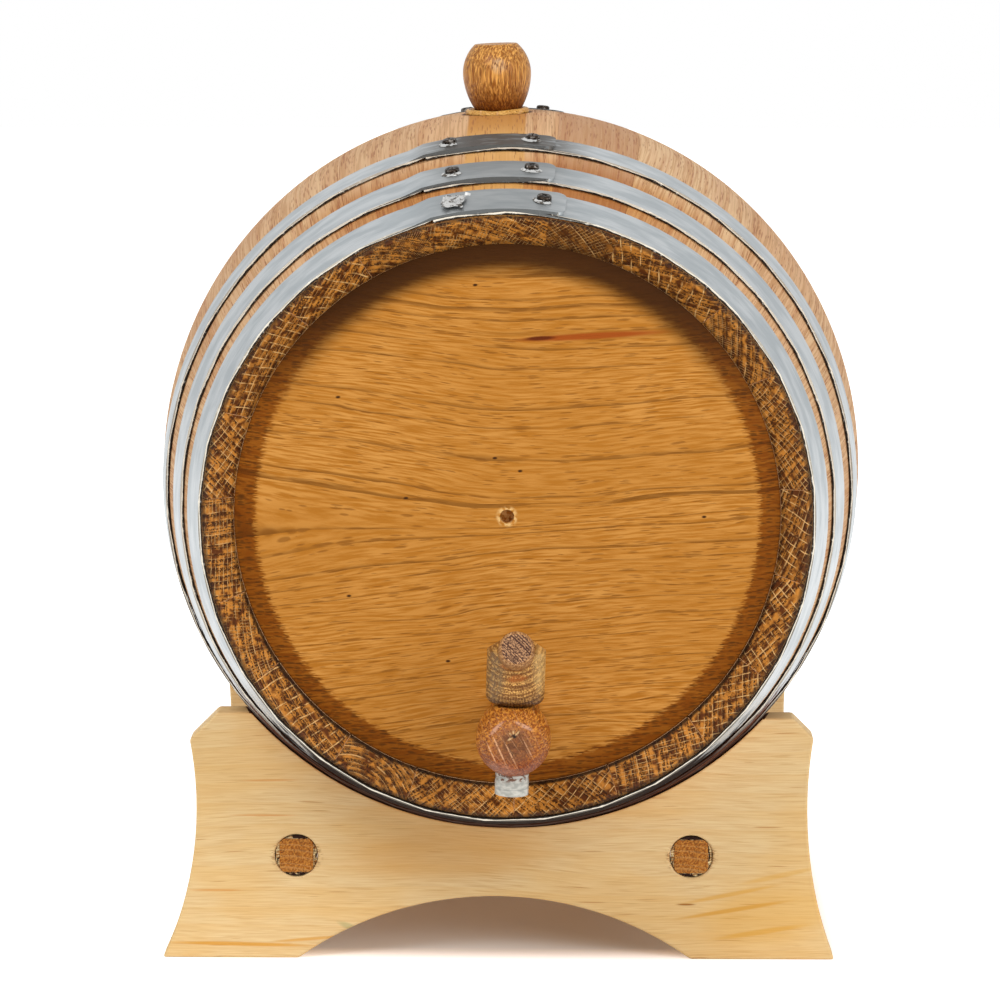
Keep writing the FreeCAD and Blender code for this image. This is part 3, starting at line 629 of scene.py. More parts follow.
def sheared_edge():
    """The cut edge of the strap: torn and dull, nearly black as painted shade of the gap under
    it with some dirt, and with bright specks that are painted glints.
    """
    material, tree, surface = new_material("sheared_strap_edge", 0.55, Metallic=1.0)
    place, _, along, up = millimetres(tree, CASK)
    glint_speck = streaks(tree, place, (1.3, 0.5, 1.3), 0.56, 0.68, 0.6)
    shown = add(tree, "MapRange", (up, -60.0, -20.0, 0.0, glint_speck))

    # "rise" is the height over the wood, and the strap is 1 mm thick. Its first thickness is
    # burnished over the outer half, where the blade went in, and the lap over it is dull.
    rise = add(tree, "Attribute", attribute_name="rise").outputs["Fac"]
    first = add(tree, "Math", (rise, 0.99), operation="MINIMUM")
    waver = streaks(tree, place, (3.0, 1.0, 3.0), 0.35, 0.65, 0.2)
    wavy = add(tree, "Math", (waver, first), operation="ADD")
    outer = add(tree, "MapRange", (wavy, 0.52, 0.66), **SOFT)
    burnished = add(tree, "MapRange", (rise, 1.03, 0.98, 0.0, outer))
    lapped = add(tree, "MapRange", (rise, 1.14, 1.2))

    # Its underside is painted dark brown as shade, except on the head hoops.
    past_front_head_hoop = add(tree, "MapRange", (along, -130.0, -120.0, 0.0, 0.95))
    low = add(tree, "MapRange", (up, -66.0, -88.0, 0.0, past_front_head_hoop), **SOFT)
    metal = coats(tree, "2C2622", (shown, "B4AEA4"), (burnished, "CFC8BA"),
                  (lapped, "5C5E5E"), (low, "2E1408"))
    finish_surface(tree, surface, metal, glint_speck, 0.1 * MM)
    return material


def moulded_plastic():
    """Pale moulded plastic tube, slightly cloudy."""
    material, tree, surface = new_material("pale_moulded_plastic", 0.4)
    place, _, _, up = millimetres(tree, KEY_PLACE)
    cloud = streaks(tree, place, (2.5, 2.5, 1.2))

    # A line left by the mould, and crumbs of wood that stick where it leaves the tap.
    line = add(tree, "MapRange", (off_from(tree, up, -17.1), 0.4, 0.1, 0.0, 0.4), **SOFT)
    near_tap = add(tree, "MapRange", (up, -15.0, -13.6), **SOFT)
    crumb = streaks(tree, place, (1.5, 1.5, 0.9), 0.5, 0.56, near_tap)
    plastic = coats(tree, "A2A29A", (cloud, "CCCAC0"), (line, "80827E"), (crumb, "6A3E1E"))
    finish_surface(tree, surface, plastic, cloud, 0.03 * MM)
    return material


# ---- Meshes ----------------------------------------------------------------------------
WELD = 0.001 * MM
FLAT = math.radians(0.05)
SHARP = math.radians(28)
FULL_TURN = 2 * math.pi


def clean_copy(node, edge):
    """A CAD node's mesh, its loose triangles joined and its arrises eased."""
    bm = bmesh.new()
    bm.from_mesh(frame["nodes"][node].data)
    bmesh.ops.remove_doubles(bm, verts=bm.verts, dist=WELD)
    bmesh.ops.dissolve_limit(bm, angle_limit=FLAT, verts=bm.verts, edges=bm.edges)
    sharp = [e for e in bm.edges if e.is_manifold and e.calc_face_angle(0.0) > SHARP]
    bmesh.ops.bevel(bm, geom=sharp, offset=edge, offset_type="OFFSET", segments=2,
                    profile=0.5, affect="EDGES", clamp_overlap=True, material=-1)
    for face in bm.faces:
        face.smooth = True
    return bm


def spun(profile, steps, angle=FULL_TURN):
    """Points given as across and up, spun round Z."""
    bm = bmesh.new()
    points = [bm.verts.new((across, 0, up)) for across, up in profile]
    line = [bm.edges.new(pair) for pair in zip(points, points[1:])]
    bmesh.ops.spin(bm, geom=points + line, axis=(0, 0, 1), cent=(0, 0, 0), steps=steps,
                   angle=angle, use_merge=angle == FULL_TURN)
    return bm


def join_into(whole, part):
    """Moves what a bmesh holds into another one."""
    mesh = bpy.data.meshes.new("part")
    part.to_mesh(mesh)
    part.free()
    whole.from_mesh(mesh)
    bpy.data.meshes.remove(mesh)


def frame_at(place, axis):
    """A frame at a place, with +Z along an axis."""
    return Matrix.Translation(place) @ axis.to_track_quat("Z", "Y").to_matrix().to_4x4()


def lay_grain(bm, turn, pith, tone=0.0, pink=0.0, place=CASK, bend=Vector()):
    """Writes each vertex's place in the tree. The turn takes Y to where the trunk points.

    The bend is how far the ends of a bent piece moved when it was bent."""
    grain = bm.verts.layers.float_vector.new("grain")
    shade = bm.verts.layers.float.new("tone")
    blush = bm.verts.layers.float.new("pink")
    to_tree = turn.inverted()
    for vert in bm.verts:
        straight = (vert.co - place) / MM
        straight += bend * (straight.y / CASK_END) ** 2
        vert[grain] = to_tree @ straight + Vector(pith)
        vert[shade] = tone
        vert[blush] = pink


def make_piece(bm, name, body, materials, stands_for=()):
    """Turns a bmesh into an object that rides on a body."""
    mesh = bpy.data.meshes.new(name)
    bm.to_mesh(mesh)
    bm.free()
    for material in materials:
        mesh.materials.append(material)
    piece = bpy.data.objects.new(name, mesh)
    bpy.context.scene.collection.objects.link(piece)
    weighted = piece.modifiers.new("Flat Faces Stay Flat", "WEIGHTED_NORMAL")
    weighted.keep_sharp = True
    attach(piece, body)
    if stands_for:
        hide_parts(*stands_for)
    return piece


class CaskStep:
    """What every step shares."""
    bl_options = {"REGISTER", "UNDO"}


HEAD_EDGE = 0.15 * MM
STAVE_END_FACES = 0.38         # a face that looks along Y by more than this is end grain
STAVE_TONES = {"bung_stave": 0.0, "stave_02": 0.6, "stave_06": 0.3, "stave_17": 0.25}


class CASK_OT_staves(CaskStep, bpy.types.Operator):
    """Eases the staves' edges and lays a different cut of oak on each"""
    bl_idname = "cask.staves"
    bl_label = "Staves"

    def execute(self, context):
        sizes, colours = context.scene.cask_sizes, context.scene.cask_colours
        materials = [bare_oak(colours.stave), end_grain_oak()]
        draw = random.Random(7)
        for node in STAVES:
            bm = clean_copy(node, sizes.stave_edge)
            outward = middle_of(node) - CASK
            around = Euler((0, math.atan2(outward.x, outward.z), 0)).to_matrix()
            cut = Euler((draw.uniform(-0.008, 0.008), draw.uniform(0, FULL_TURN),
                         draw.uniform(-0.008, 0.008))).to_matrix()
            pith = (draw.uniform(60, 150), draw.uniform(-4000, 4000), draw.uniform(-30, 30))
            lay_grain(bm, around @ cut, pith, STAVE_TONES.get(node, draw.uniform(0, 0.15)),
                      draw.choice((0.0, 0.2, 0.6)), bend=around @ Vector((0, 0, BOW_DEPTH)))
            for face in bm.faces:
                face.material_index = int(abs(face.normal.y) > STAVE_END_FACES)
            make_piece(bm, "oak_" + node, "cask", materials, (node,))
        return {"FINISHED"}


class CASK_OT_heads(CaskStep, bpy.types.Operator):
    """Finishes both heads"""
    bl_idname = "cask.heads"
    bl_label = "Heads"

    def execute(self, context):
        oak = planed_head_oak(context.scene.cask_colours.head)
        for node in ("front_head", "rear_head"):
            bm = clean_copy(node, HEAD_EDGE)
            make_piece(bm, "oak_" + node, "cask", [oak], (node,))
        return {"FINISHED"}


# ---- Hoops and their screws ------------------------------------------------------------
SCREW_HEIGHT = 1.9 * MM        # of the screws' heads
SCREW_RADIUS = 2.5 * MM
SCREW_PROFILE = ((0, 1), (0.7, 0.98), (0.9, 0.88), (1, 0.66), (1, 0.01), (0, 0.01))
RECESS_HALF_WIDTH = 0.3 * MM
RECESS_HALF_LENGTH = 1.45 * MM
RECESS_DEPTH = 0.9 * MM
RECESS_TAPER = 0.72
SHANK_EDGE = 0.1 * MM
BURR_PROFILE = ((2.6, 0.03), (2.85, 0.6), (3.2, 0.4), (3.9, 0.02))
BURR_ARC = math.radians(150)
BURR_THICKNESS = 0.08 * MM
BURR_LUMP = 0.9 * MM
BURR_ROUGHNESS = 0.22 * MM
FLAP_GRID = (11, 14)
FLAP_SIZE = (10.5 * MM, 13.0 * MM, 1.0)
FLAP_HALF_WIDTH = 4.6 * MM     # where its ragged outline lies within the grid
FLAP_HALF_LENGTH = 5.6 * MM
FLAP_NOTCH = 2.6 * MM
FLAP_THICKNESS = 0.12 * MM
STRAP_EDGE_FACES = 0.9         # a face that looks along Y by more than this is a cut edge
STRAP_EDGE_WIDTH = 0.3 * MM
FRONT_SCREWS = 5
EMPTY_HOLE_ARC = 30.0          # from the front head hoop's screw to its empty hole
HEAD_HOOP_RADIUS = 107.8


def screw_seats():
    """The frames of the screws, +Z out of the wood, at the undersides of their heads."""
    bm = bmesh.new()
    bm.from_mesh(frame["nodes"]["hoop_screws"].data)
    bmesh.ops.remove_doubles(bm, verts=bm.verts, dist=WELD)
    seen, seats = set(), []
    for first in bm.verts:
        if first in seen:
            continue
        screw, edge = [], [first]
        while edge:
            vert = edge.pop()
            if vert not in seen:
                seen.add(vert)
                screw.append(vert)
                edge += [link.other_vert(vert) for link in vert.link_edges]
        middle = sum((vert.co for vert in screw), Vector()) / len(screw)
        out = Vector((middle.x - CASK.x, 0, middle.z - CASK.z)).normalized()
        heights = sorted(screw, key=lambda vert: vert.co.dot(out))
        tip = heights[0].co
        crown_height = heights[-1].co.dot(out)
        crown = [vert.co for vert in screw if vert.co.dot(out) > crown_height - SCREW_HEIGHT]
        low = [min(point[axis] for point in crown) for axis in range(3)]
        high = [max(point[axis] for point in crown) for axis in range(3)]
        axis = ((Vector(low) + Vector(high)) / 2 - tip).normalized()
        top = max(vert.co.dot(axis) for vert in screw)
        seats.append(frame_at(tip + axis * (top - tip.dot(axis) - SCREW_HEIGHT), axis))
    bm.free()
    return sorted(seats, key=lambda seat: (seat.translation.y, seat.translation.x))


def pan_head(bm, seat, turn):
    """A domed head with a cross recess."""
    head = spun([(across * SCREW_RADIUS, up * SCREW_HEIGHT) for across, up in SCREW_PROFILE],
                steps=24)
    bmesh.ops.remove_doubles(head, verts=head.verts, dist=WELD)
    for distance in (RECESS_HALF_WIDTH, RECESS_HALF_LENGTH):
        for direction in ((1, 0, 0), (0, 1, 0)):
            for side in (1, -1):
                bmesh.ops.bisect_plane(
                    head, geom=head.verts[:] + head.edges[:] + head.faces[:],
                    plane_co=Vector(direction) * side * distance, plane_no=direction)
    cross = []
    for face in head.faces:
        middle = face.calc_center_median()
        near, far = sorted((abs(middle.x), abs(middle.y)))
        in_cross = near < RECESS_HALF_WIDTH and far < RECESS_HALF_LENGTH
        if in_cross and middle.z > SCREW_HEIGHT / 2:
            cross.append(face)
    sunk = bmesh.ops.extrude_face_region(head, geom=cross)["geom"]
    bmesh.ops.delete(head, geom=cross, context="FACES_ONLY")
    floor = [item for item in sunk if isinstance(item, bmesh.types.BMVert)]
    bmesh.ops.scale(head, verts=floor, vec=(RECESS_TAPER, RECESS_TAPER, 1.0))
    bmesh.ops.translate(head, verts=floor, vec=(0, 0, -RECESS_DEPTH))
    bmesh.ops.recalc_face_normals(head, faces=head.faces)
    head.transform(seat @ Matrix.Rotation(turn, 4, "Z"))
    join_into(bm, head)


def measure_rise(bm):
    """Writes how far each vertex at a hoop's edges is from the wood, in millimetres."""
    rise = bm.verts.layers.float.new("rise")
    for end in [extreme(vert.co.y for vert in bm.verts) for extreme in (min, max)]:
        edge = [vert for vert in bm.verts if abs(vert.co.y - end) < STRAP_EDGE_WIDTH]
        outward = [Vector((vert.co.x - CASK.x, vert.co.z - CASK.z)).length for vert in edge]
        for vert, distance in zip(edge, outward):
            vert[rise] = (distance - min(outward)) / MM


def on_strap(seat):
    """A seat's frame turned so that X runs round the cask to the right and Y along it."""
    out = seat.col[2].to_3d()
    round_it = Vector((0, 1, 0)).cross(out).normalized()
    axes = Matrix((round_it, out.cross(round_it), out)).transposed().to_4x4()
    return Matrix.Translation(seat.translation) @ axes


def curled_burr(bm, seat, number):
    """The bright crescent that the drill threw up on the near side of a screw."""
    burr = spun([(across * MM, up * MM) for across, up in BURR_PROFILE], steps=26,
                angle=BURR_ARC)
    burr.transform(Matrix.Rotation(math.radians(165 + 12 * (number % 3)), 4, "Z"))
    for vert in burr.verts:
        rough = noise.noise_vector(vert.co / BURR_LUMP + Vector((9.0 * number, 0, 0)))
        vert.co += rough * BURR_ROUGHNESS
        vert.co.z = max(vert.co.z, 0.01 * MM)
    bmesh.ops.recalc_face_normals(burr, faces=burr.faces)
    bmesh.ops.solidify(burr, geom=burr.faces[:], thickness=BURR_THICKNESS)
    burr.transform(on_strap(seat))
    join_into(bm, burr)


def torn_flap(seat):
    """The crumpled tongue of strap round the hole that lost its screw."""
    bm = bmesh.new()
    bmesh.ops.create_grid(bm, x_segments=FLAP_GRID[0], y_segments=FLAP_GRID[1], size=0.5)
    bmesh.ops.scale(bm, verts=bm.verts, vec=FLAP_SIZE)
    ragged = []
    for vert in bm.verts:
        across, along = abs(vert.co.x) / FLAP_HALF_WIDTH, abs(vert.co.y) / FLAP_HALF_LENGTH
        edge = 1.0 + 0.35 * noise.noise(Vector((vert.co.x, vert.co.y, 0)) / FLAP_NOTCH)
        if max(across, along) > edge:
            ragged.append(vert)
    bmesh.ops.delete(bm, geom=ragged, context="VERTS")
    for vert in bm.verts:
        spot = vert.co / MM
        fold = abs(noise.noise(Vector((spot.x * 0.30 + spot.y * 0.16, spot.y * 0.22, 1.0))))
        crease = noise.noise(Vector((spot.x * 0.9, spot.y * 0.8, 7.0)))
        vert.co.z = (0.6 + 2.4 * fold + 0.5 * crease) * MM
    bmesh.ops.recalc_face_normals(bm, faces=bm.faces)
    bmesh.ops.solidify(bm, geom=bm.faces[:], thickness=FLAP_THICKNESS)
    bm.transform(on_strap(seat) @ Matrix.Translation((0, -1.2 * MM, 0))
                 @ Matrix.Rotation(math.radians(-16), 4, "Z"))
    return bm


class CASK_OT_hoops(CaskStep, bpy.types.Operator):
    """Finishes the six strap hoops and their screws"""
    bl_idname = "cask.hoops"
    bl_label = "Hoops"

    def execute(self, context):
        sizes, colours = context.scene.cask_sizes, context.scene.cask_colours
        materials = [galvanised_strap(colours.steel), sheared_edge()]
        for node in HOOPS:
            bm = clean_copy(node, sizes.strap_edge)
            for face in bm.faces:
                face.material_index = int(abs(face.normal.y) > STRAP_EDGE_FACES)
            measure_rise(bm)
            make_piece(bm, "strap_" + node, "cask", materials, (node,))

        seats = screw_seats()
        bright = torn_steel()
        burrs = bmesh.new()
        for number, seat in enumerate(seats[:FRONT_SCREWS]):
            curled_burr(burrs, seat, number)
        make_piece(burrs, "screw_hole_burrs", "cask", [bright])
        turn = Matrix.Rotation(-EMPTY_HOLE_ARC / HEAD_HOOP_RADIUS, 4, "Y")
        empty = Matrix.Translation(CASK) @ turn @ Matrix.Translation(-CASK) @ seats[0]
        make_piece(torn_flap(empty), "torn_hoop_flap", "cask", [bright])

        draw = random.Random(3)
        screws = clean_copy("hoop_screws", SHANK_EDGE)
        for seat in seats:
            heads = [vert for vert in screws.verts
                     if (seat.inverted() @ vert.co).z > 0 and
                     (vert.co - seat.translation).length < 2 * SCREW_RADIUS]
            bmesh.ops.delete(screws, geom=heads, context="VERTS")
            pan_head(screws, seat, draw.uniform(0, math.pi / 2))
        make_piece(screws, "pan_head_screws", "cask", [dark_zinc()],
                   ("hoop_screws",))
        return {"FINISHED"}


# ---- Bung ------------------------------------------------------------------------------
LIP_RADIUS = 10.4 * MM         # to the middle of the swollen ring
LIP_HALF_THICKNESS = 1.3 * MM
LIP_FROM_AXIS = 127.1 * MM     # the ring's middle stands just proud of the bilge
LIP_BEND = 126.5 * MM          # it follows the staves round the cask
LIP_LUMP = 4.0 * MM
LIP_ROUGHNESS = 0.25 * MM
# A pale grey patch high on the bung's left side: painted highlight.
BUNG_MARKS = ((-7.4, 212.0, 3.6, 4.0, 0.0, 0.35, "D8C8AC"),)


def swollen_lip(middle, axis):
    """A ring of fibres that oil has swollen, on the staves round the bung."""
    lip = bmesh.new()
    bmesh.ops.create_circle(lip, segments=12, radius=LIP_HALF_THICKNESS)
    lip.transform(Matrix.Translation((LIP_RADIUS, 0, 0)) @ Matrix.Rotation(math.pi / 2, 4, "X"))
    bmesh.ops.spin(lip, geom=lip.verts[:] + lip.edges[:], axis=(0, 0, 1), cent=(0, 0, 0),
                   steps=64, angle=FULL_TURN, use_merge=True)
    for vert in lip.verts:
        vert.co += noise.noise_vector(vert.co / LIP_LUMP) * LIP_ROUGHNESS
        vert.co.z -= vert.co.x ** 2 / (2 * LIP_BEND)
    bmesh.ops.recalc_face_normals(lip, faces=lip.faces)
    lip.transform(frame_at(middle, axis))
    for face in lip.faces:
        face.smooth = True
    return lip


class CASK_OT_bung(CaskStep, bpy.types.Operator):
    """Finishes the turned bung"""
    bl_idname = "cask.bung"
    bl_label = "Bung"

    def execute(self, context):
        bm = clean_copy("bung", context.scene.cask_sizes.turned_edge)
        lay_grain(bm, ALONG_Z, (14, 0, 22), place=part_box("bung")[0])
        oak = turned_oak(
            "turned_bung_oak", "EAAA56", "965A20", "643208", (0.42, 9.0, 0.42), 0.56,
            ray_strength=0.1, tints=((208.0, 194.0, "9A7434"),), marks=BUNG_MARKS,
            marks_depth=150.0, marks_reach=40.0)
        make_piece(bm, "turned_bung", "bung", [oak], ("bung",))

        outward = middle_of("bung") - CASK
        lip = swollen_lip(CASK + outward * (LIP_FROM_AXIS / outward.length),
                          Vector(JOINTS["bung_pull"]["axis"]))
        lay_grain(lip, ALONG_Y, (60, 0, 40))
        swollen = turned_oak("swollen_oiled_oak", "E8B868", "C48C40", "7A4818",
                             (0.8, 12.0, 0.8))
        make_piece(lip, "bung_hole_lip", "cask", [swollen])
        return {"FINISHED"}


# ---- Tap -------------------------------------------------------------------------------
STEM_EDGE = 0.25 * MM
# Marks on the ball: a dark spot with a paler rim, pinkish arcs at the top that are painted
# highlight, slanted light rays, and a star-shaped check with light splinters between its arms.
CHECK_ACROSS, CHECK_UP = 0.3, 2.8
SPLINTER_OUT = 1.4
BALL_MARKS = (
    (0.0, 0.2, 9.6, 9.0, 0.0, 0.55, "B47C5E"),
    (0.4, -0.4, 8.2, 7.8, 0.0, 0.85, "5E3414"),
    # Pinkish arcs at the top: painted highlight.
    (-5.6, 5.4, 4.2, 0.9, 0.8, 0.8, "D4A084"),
    (3.4, 6.4, 4.6, 0.9, -0.45, 0.8, "D4A084"),
    (-3.4, -8.6, 7.4, 3.2, -0.2, 0.5, "C08468"),
    (-4.6, -1.6, 8.0, 0.4, -1.15, 0.95, "DCA478"),
    (-7.2, -2.5, 6.0, 0.35, -1.15, 0.8, "DCA478"),
    (-0.6, -3.6, 7.0, 0.35, -1.12, 0.8, "DCA478"),
    (5.0, -1.5, 6.0, 0.3, -1.1, 0.6, "DCA478"),
    *((CHECK_ACROSS + SPLINTER_OUT * math.cos(turn), CHECK_UP + SPLINTER_OUT * math.sin(turn),
       half_length, 0.45, turn, 0.9, "E8C088")
      for half_length, turn in ((1.6, 0.8), (0.9, 1.7), (0.8, 2.5), (1.5, 3.7))),
    *((CHECK_ACROSS, CHECK_UP, half_length, 0.5, turn, 1.0, "160701")
      for half_length, turn in ((1.9, 0.2), (1.3, 1.4), (1.6, 2.6))),
)
GRIP_MARKS = (
    # Painted shade down the grip's left side.
    (-6.4, 22.0, 4.8, 12.0, 0.0, 0.6, "77654A"),
    (1.2, 21.5, 4.2, 1.7, 0.1, 0.7, "B4601A"),
    (-1.0, 25.0, 5.0, 1.2, -0.2, 0.5, "B4601A"),
    (3.0, 18.6, 4.6, 1.1, 0.1, 0.6, "6E4018"),
    # Painted highlight down the grip's right side.
    (9.0, 24.0, 3.4, 11.0, 0.0, 0.55, "E4BC78"),
)


class CASK_OT_tap(CaskStep, bpy.types.Operator):
    """Finishes the tap's body, key, peg and stem"""
    bl_idname = "cask.tap"
    bl_label = "Tap"

    def execute(self, context):
        ball = turned_oak(
            "turned_tap_oak", "D48A34", "8A4410", "421C06", (0.45, 7.0, 0.45),
            ray_strength=0.2, tints=((2.0, -9.0, "C8A08C"),), marks=BALL_MARKS,
            marks_depth=-12.0, marks_reach=12.0)
        grip = turned_oak(
            "turned_grip_oak", "E6AE60", "784818", "4E2C0E", (0.42, 9.0, 0.42), 0.4,
            ring_strength=0.9, ray_strength=0.25, tints=((17.0, 11.8, "7A6430"),),
            marks=GRIP_MARKS, marks_depth=-10.0, marks_reach=30.0)
        peg_end = turned_oak(
            "peg_end_grain_oak", "C8966A", "40221A", "2C140C", (0.4, 8.0, 0.4), 0.34,
            ring=1.15, ring_strength=1.0, ray_strength=0.0)
        peg_side = turned_oak("peg_side_oak", "C08E5A", "8A5A30", "5A3418", (0.5, 8.0, 0.5))
        for node, body, pith, materials in (
            ("tap_body", "cask", (-30, 0, 48), [ball]),
            ("key_head", "tap_key", (0, 0, -36), [grip]),
            ("key_peg", "tap_key", (30, 0, 0), [peg_side, peg_end]),
        ):
            bm = clean_copy(node, context.scene.cask_sizes.turned_edge)
            if node == "key_peg":
                end = max((face for face in bm.faces if face.normal.y < -0.8),
                          key=lambda face: face.calc_area())
                end.material_index = materials.index(peg_end)
            lay_grain(bm, ALONG_Y, pith, place=KEY_PLACE)
            make_piece(bm, "turned_" + node, body, materials, (node,))
        stem = clean_copy("key_stem", STEM_EDGE)
        make_piece(stem, "moulded_key_stem", "tap_key", [moulded_plastic()],
                   ("key_stem",))
        return {"FINISHED"}


# ---- Stand -----------------------------------------------------------------------------
RAIL_EDGE = 0.3 * MM
HOLE_RADIUS = 7.6 * MM
FIBRE_SET = 0.4 * MM           # the fibres lie this far inside a board's face
FIBRE_THICKNESS = 0.4 * MM
FIBRE_ROUGHNESS = 0.35 * MM
CRADLE_CLEARANCE = 2.0 * MM    # the rails' tops are at least this far below the cradles


def fibre_plug(middle, face_y, turn):
    """A rough sheet of torn fibres across a rail's hole, turned to face out of the board."""
    plug = bmesh.new()
    bmesh.ops.create_grid(plug, x_segments=40, y_segments=40, size=HOLE_RADIUS)
    outside = [vert for vert in plug.verts if vert.co.length > HOLE_RADIUS]
    bmesh.ops.delete(plug, geom=outside, context="VERTS")
    for vert in plug.verts:
        strand = Vector((vert.co.x / 3.0, vert.co.y / 0.5, middle.x)) / MM
        vert.co.z = FIBRE_ROUGHNESS * noise.noise(strand)
    bmesh.ops.solidify(plug, geom=plug.faces[:], thickness=FIBRE_THICKNESS)
    plug.transform(Matrix.Translation((middle.x, face_y, middle.z))
                   @ Matrix.Rotation(turn, 4, "X"))
    return plug


class CASK_OT_stand(CaskStep, bpy.types.Operator):
    """Finishes the stand's boards and rails"""
    bl_idname = "cask.stand"
    bl_label = "Stand"

    def execute(self, context):
        sizes, colours = context.scene.cask_sizes, context.scene.cask_colours
        materials = [planed_pine(colours.pine), oiled_shaded_cradle()]
        cradle = (CASK.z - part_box("left_rail")[1].z) - CRADLE_CLEARANCE
        for node in BOARDS:
            bm = clean_copy(node, sizes.board_edge)
            for face in bm.faces:
                out = face.calc_center_median() - CASK
                out.y = 0
                face.material_index = int(
                    out.length < cradle and face.normal.dot(out) < -0.6 * out.length)
            make_piece(bm, "pine_" + node, "stand", materials, (node,))
        hardwood = sawn_hardwood()
        for node in RAILS:
            bm = clean_copy(node, RAIL_EDGE)
            lay_grain(bm, ALONG_Y, (3, 0, 60), place=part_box(node)[0])
            make_piece(bm, "hardwood_" + node, "stand", [hardwood], (node,))

        # Torn fibres and dust fill the round holes beside the square rails; the sheet carries
        # painted shade where the rail leaves a gap.
        fill = bmesh.new()
        for rail in RAILS:
            for board, corner, side in zip(BOARDS, (0, 1), (1, -1)):
                face_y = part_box(board)[corner].y + side * FIBRE_SET
                join_into(fill, fibre_plug(middle_of(rail), face_y, side * math.pi / 2))
        make_piece(fill, "torn_fibre_fill", "stand", [fibres_and_slot_shade()])
        return {"FINISHED"}


# ---- Stage -----------------------------------------------------------------------------
CAMERA_PLACE = Vector((16.925, -1516.964, 231.11)) * MM      # from the cask's middle
CAMERA_PITCH = 0.162
CAMERA_YAW = 0.014
CAMERA_LENS = 149.28
FLOOR_SIDE = 8.0
SURROUNDINGS = 0.42            # how strongly the white surroundings light the cask


def area_light(name, place, size, power):
    light = bpy.data.lights.new(name, "AREA")
    light.size = size
    light.energy = power
    lamp = bpy.data.objects.new(name, light)
    lamp.location = place
    lamp.rotation_euler = (CASK - Vector(place)).to_track_quat("-Z", "Y").to_euler()
    bpy.context.scene.collection.objects.link(lamp)


def background_rays(tree):
    """1 for rays that see the background: from the camera, in gloss and through glass."""
    rays = add(tree, "LightPath").outputs
    seen = add(tree, "Math", (rays["Is Camera Ray"], rays["Is Glossy Ray"]),
               operation="MAXIMUM")
    return add(tree, "Math", (seen, rays["Is Transmission Ray"]), operation="MAXIMUM")


def pale_floor():
    """A pale sheet that goes to white away from the stand, and keeps its shadow; under the stand
    it glows faintly orange, a painted warm light bounced from the wood.
    """
    material, tree, surface = new_material("pale_floor", 0.9, Specular_IOR_Level=0.0)
    place, across, along, _ = millimetres(tree)
    beside = add(tree, "MapRange", (off_from(tree, across), 98.0, 124.0), **SOFT)
    before = add(tree, "MapRange", (along, -40.0, -68.0), **SOFT)
    behind = add(tree, "MapRange", (along, 100.0, 200.0), **SOFT)
    sides = add(tree, "Math", (beside, before), operation="MAXIMUM")
    around = add(tree, "Math", (sides, behind), operation="MAXIMUM")
    far = add(tree, "VectorMath", (place,), operation="LENGTH").outputs["Value"]
    away = add(tree, "MapRange", (far, 200.0, 700.0, 0.88, 1.0), **SOFT)
    open_floor = add(tree, "Math", (around, away), operation="MULTIPLY")
    lit = add(tree, "Math", (open_floor, 0.09), operation="MAXIMUM")
    glow = add(tree, "Math", (lit, background_rays(tree)), operation="MULTIPLY")
    bounce_tint = coats(tree, "F0A85C", (around, "FFFFFF"))
    lift = add(tree, "Emission", {"Color": bounce_tint, "Strength": glow})
    connect(tree, surface, {"Base Color": "F2F1EF"})
    both = add(tree, "AddShader", (surface, lift))
    connect(tree, tree.nodes["Material Output"], {"Surface": both})
    return material


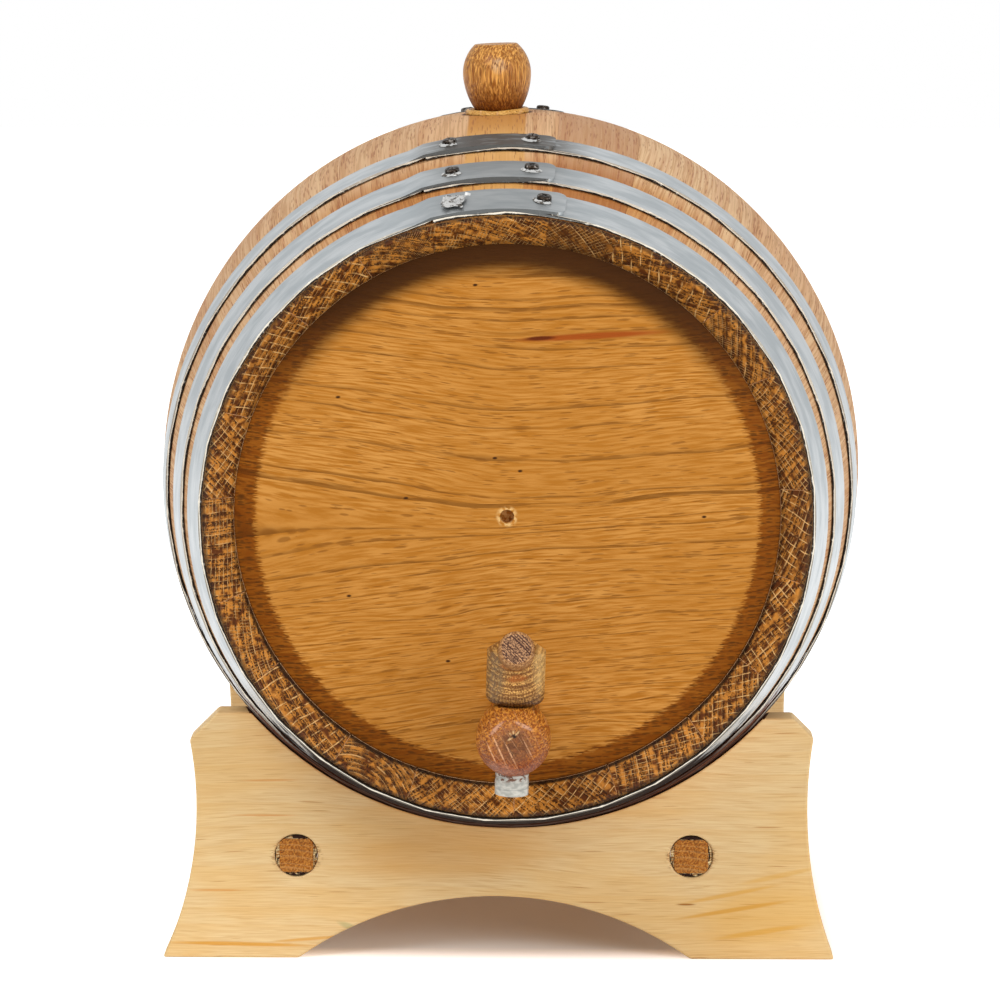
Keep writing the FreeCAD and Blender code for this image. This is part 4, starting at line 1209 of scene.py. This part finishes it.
class CASK_OT_stage(CaskStep, bpy.types.Operator):
    """Sets the floor, the soft lamps, the white surroundings and the camera"""
    bl_idname = "cask.stage"
    bl_label = "Stage"

    def execute(self, context):
        scene = context.scene
        bm = bmesh.new()
        bmesh.ops.create_grid(bm, x_segments=1, y_segments=1, size=FLOOR_SIDE / 2)
        mesh = bpy.data.meshes.new("floor")
        bm.to_mesh(mesh)
        bm.free()
        mesh.materials.append(pale_floor())
        floor = bpy.data.objects.new("floor", mesh)
        scene.collection.objects.link(floor)

        world = bpy.data.worlds.new("white_studio")
        world.use_nodes = True
        tree = world.node_tree
        soft = add(tree, "Background", {"Color": "FFFFFF", "Strength": SURROUNDINGS})
        white = add(tree, "Background", {"Color": "FFFFFF", "Strength": 1.0})
        shown = add(tree, "MixShader", (background_rays(tree), soft, white))
        connect(tree, tree.nodes["World Output"], {"Surface": shown})
        scene.world = world

        area_light("key", (-0.75, -1.2, 1.45), size=0.8, power=17)
        area_light("fill", (1.1, -1.3, 0.9), size=1.0, power=15)

        camera = bpy.data.cameras.new("camera")
        camera.lens = CAMERA_LENS
        eye = bpy.data.objects.new("camera", camera)
        eye.location = CASK + CAMERA_PLACE
        eye.rotation_euler = (math.pi / 2 - CAMERA_PITCH, 0, CAMERA_YAW)
        scene.collection.objects.link(eye)
        scene.camera = eye
        scene.view_settings.view_transform = "Standard"
        return {"FINISHED"}


STEPS = (CASK_OT_staves, CASK_OT_heads, CASK_OT_hoops, CASK_OT_bung, CASK_OT_tap,
         CASK_OT_stand, CASK_OT_stage)


class CASK_PT_steps(bpy.types.Panel):
    """Lists the steps that build the cask's looks"""
    bl_label = "Oak Cask"
    bl_idname = "CASK_PT_steps"
    bl_space_type = "VIEW_3D"
    bl_region_type = "UI"
    bl_category = "Cask"

    def draw(self, context):
        for settings in (context.scene.cask_sizes, context.scene.cask_colours):
            for name in settings.__annotations__:
                self.layout.prop(settings, name)
        for step in STEPS:
            self.layout.operator(step.bl_idname)


CLASSES = (CaskSizes, CaskColours, *STEPS, CASK_PT_steps)


def register():
    for item in CLASSES:
        bpy.utils.register_class(item)
    bpy.types.Scene.cask_sizes = bpy.props.PointerProperty(type=CaskSizes)
    bpy.types.Scene.cask_colours = bpy.props.PointerProperty(type=CaskColours)


def unregister():
    del bpy.types.Scene.cask_colours
    del bpy.types.Scene.cask_sizes
    for item in reversed(CLASSES):
        bpy.utils.unregister_class(item)


def main():
    register()
    bpy.ops.cask.staves()
    bpy.ops.cask.heads()
    bpy.ops.cask.hoops()
    bpy.ops.cask.bung()
    bpy.ops.cask.tap()
    bpy.ops.cask.stand()
    bpy.ops.cask.stage()


if __name__ == "__main__":
    main()
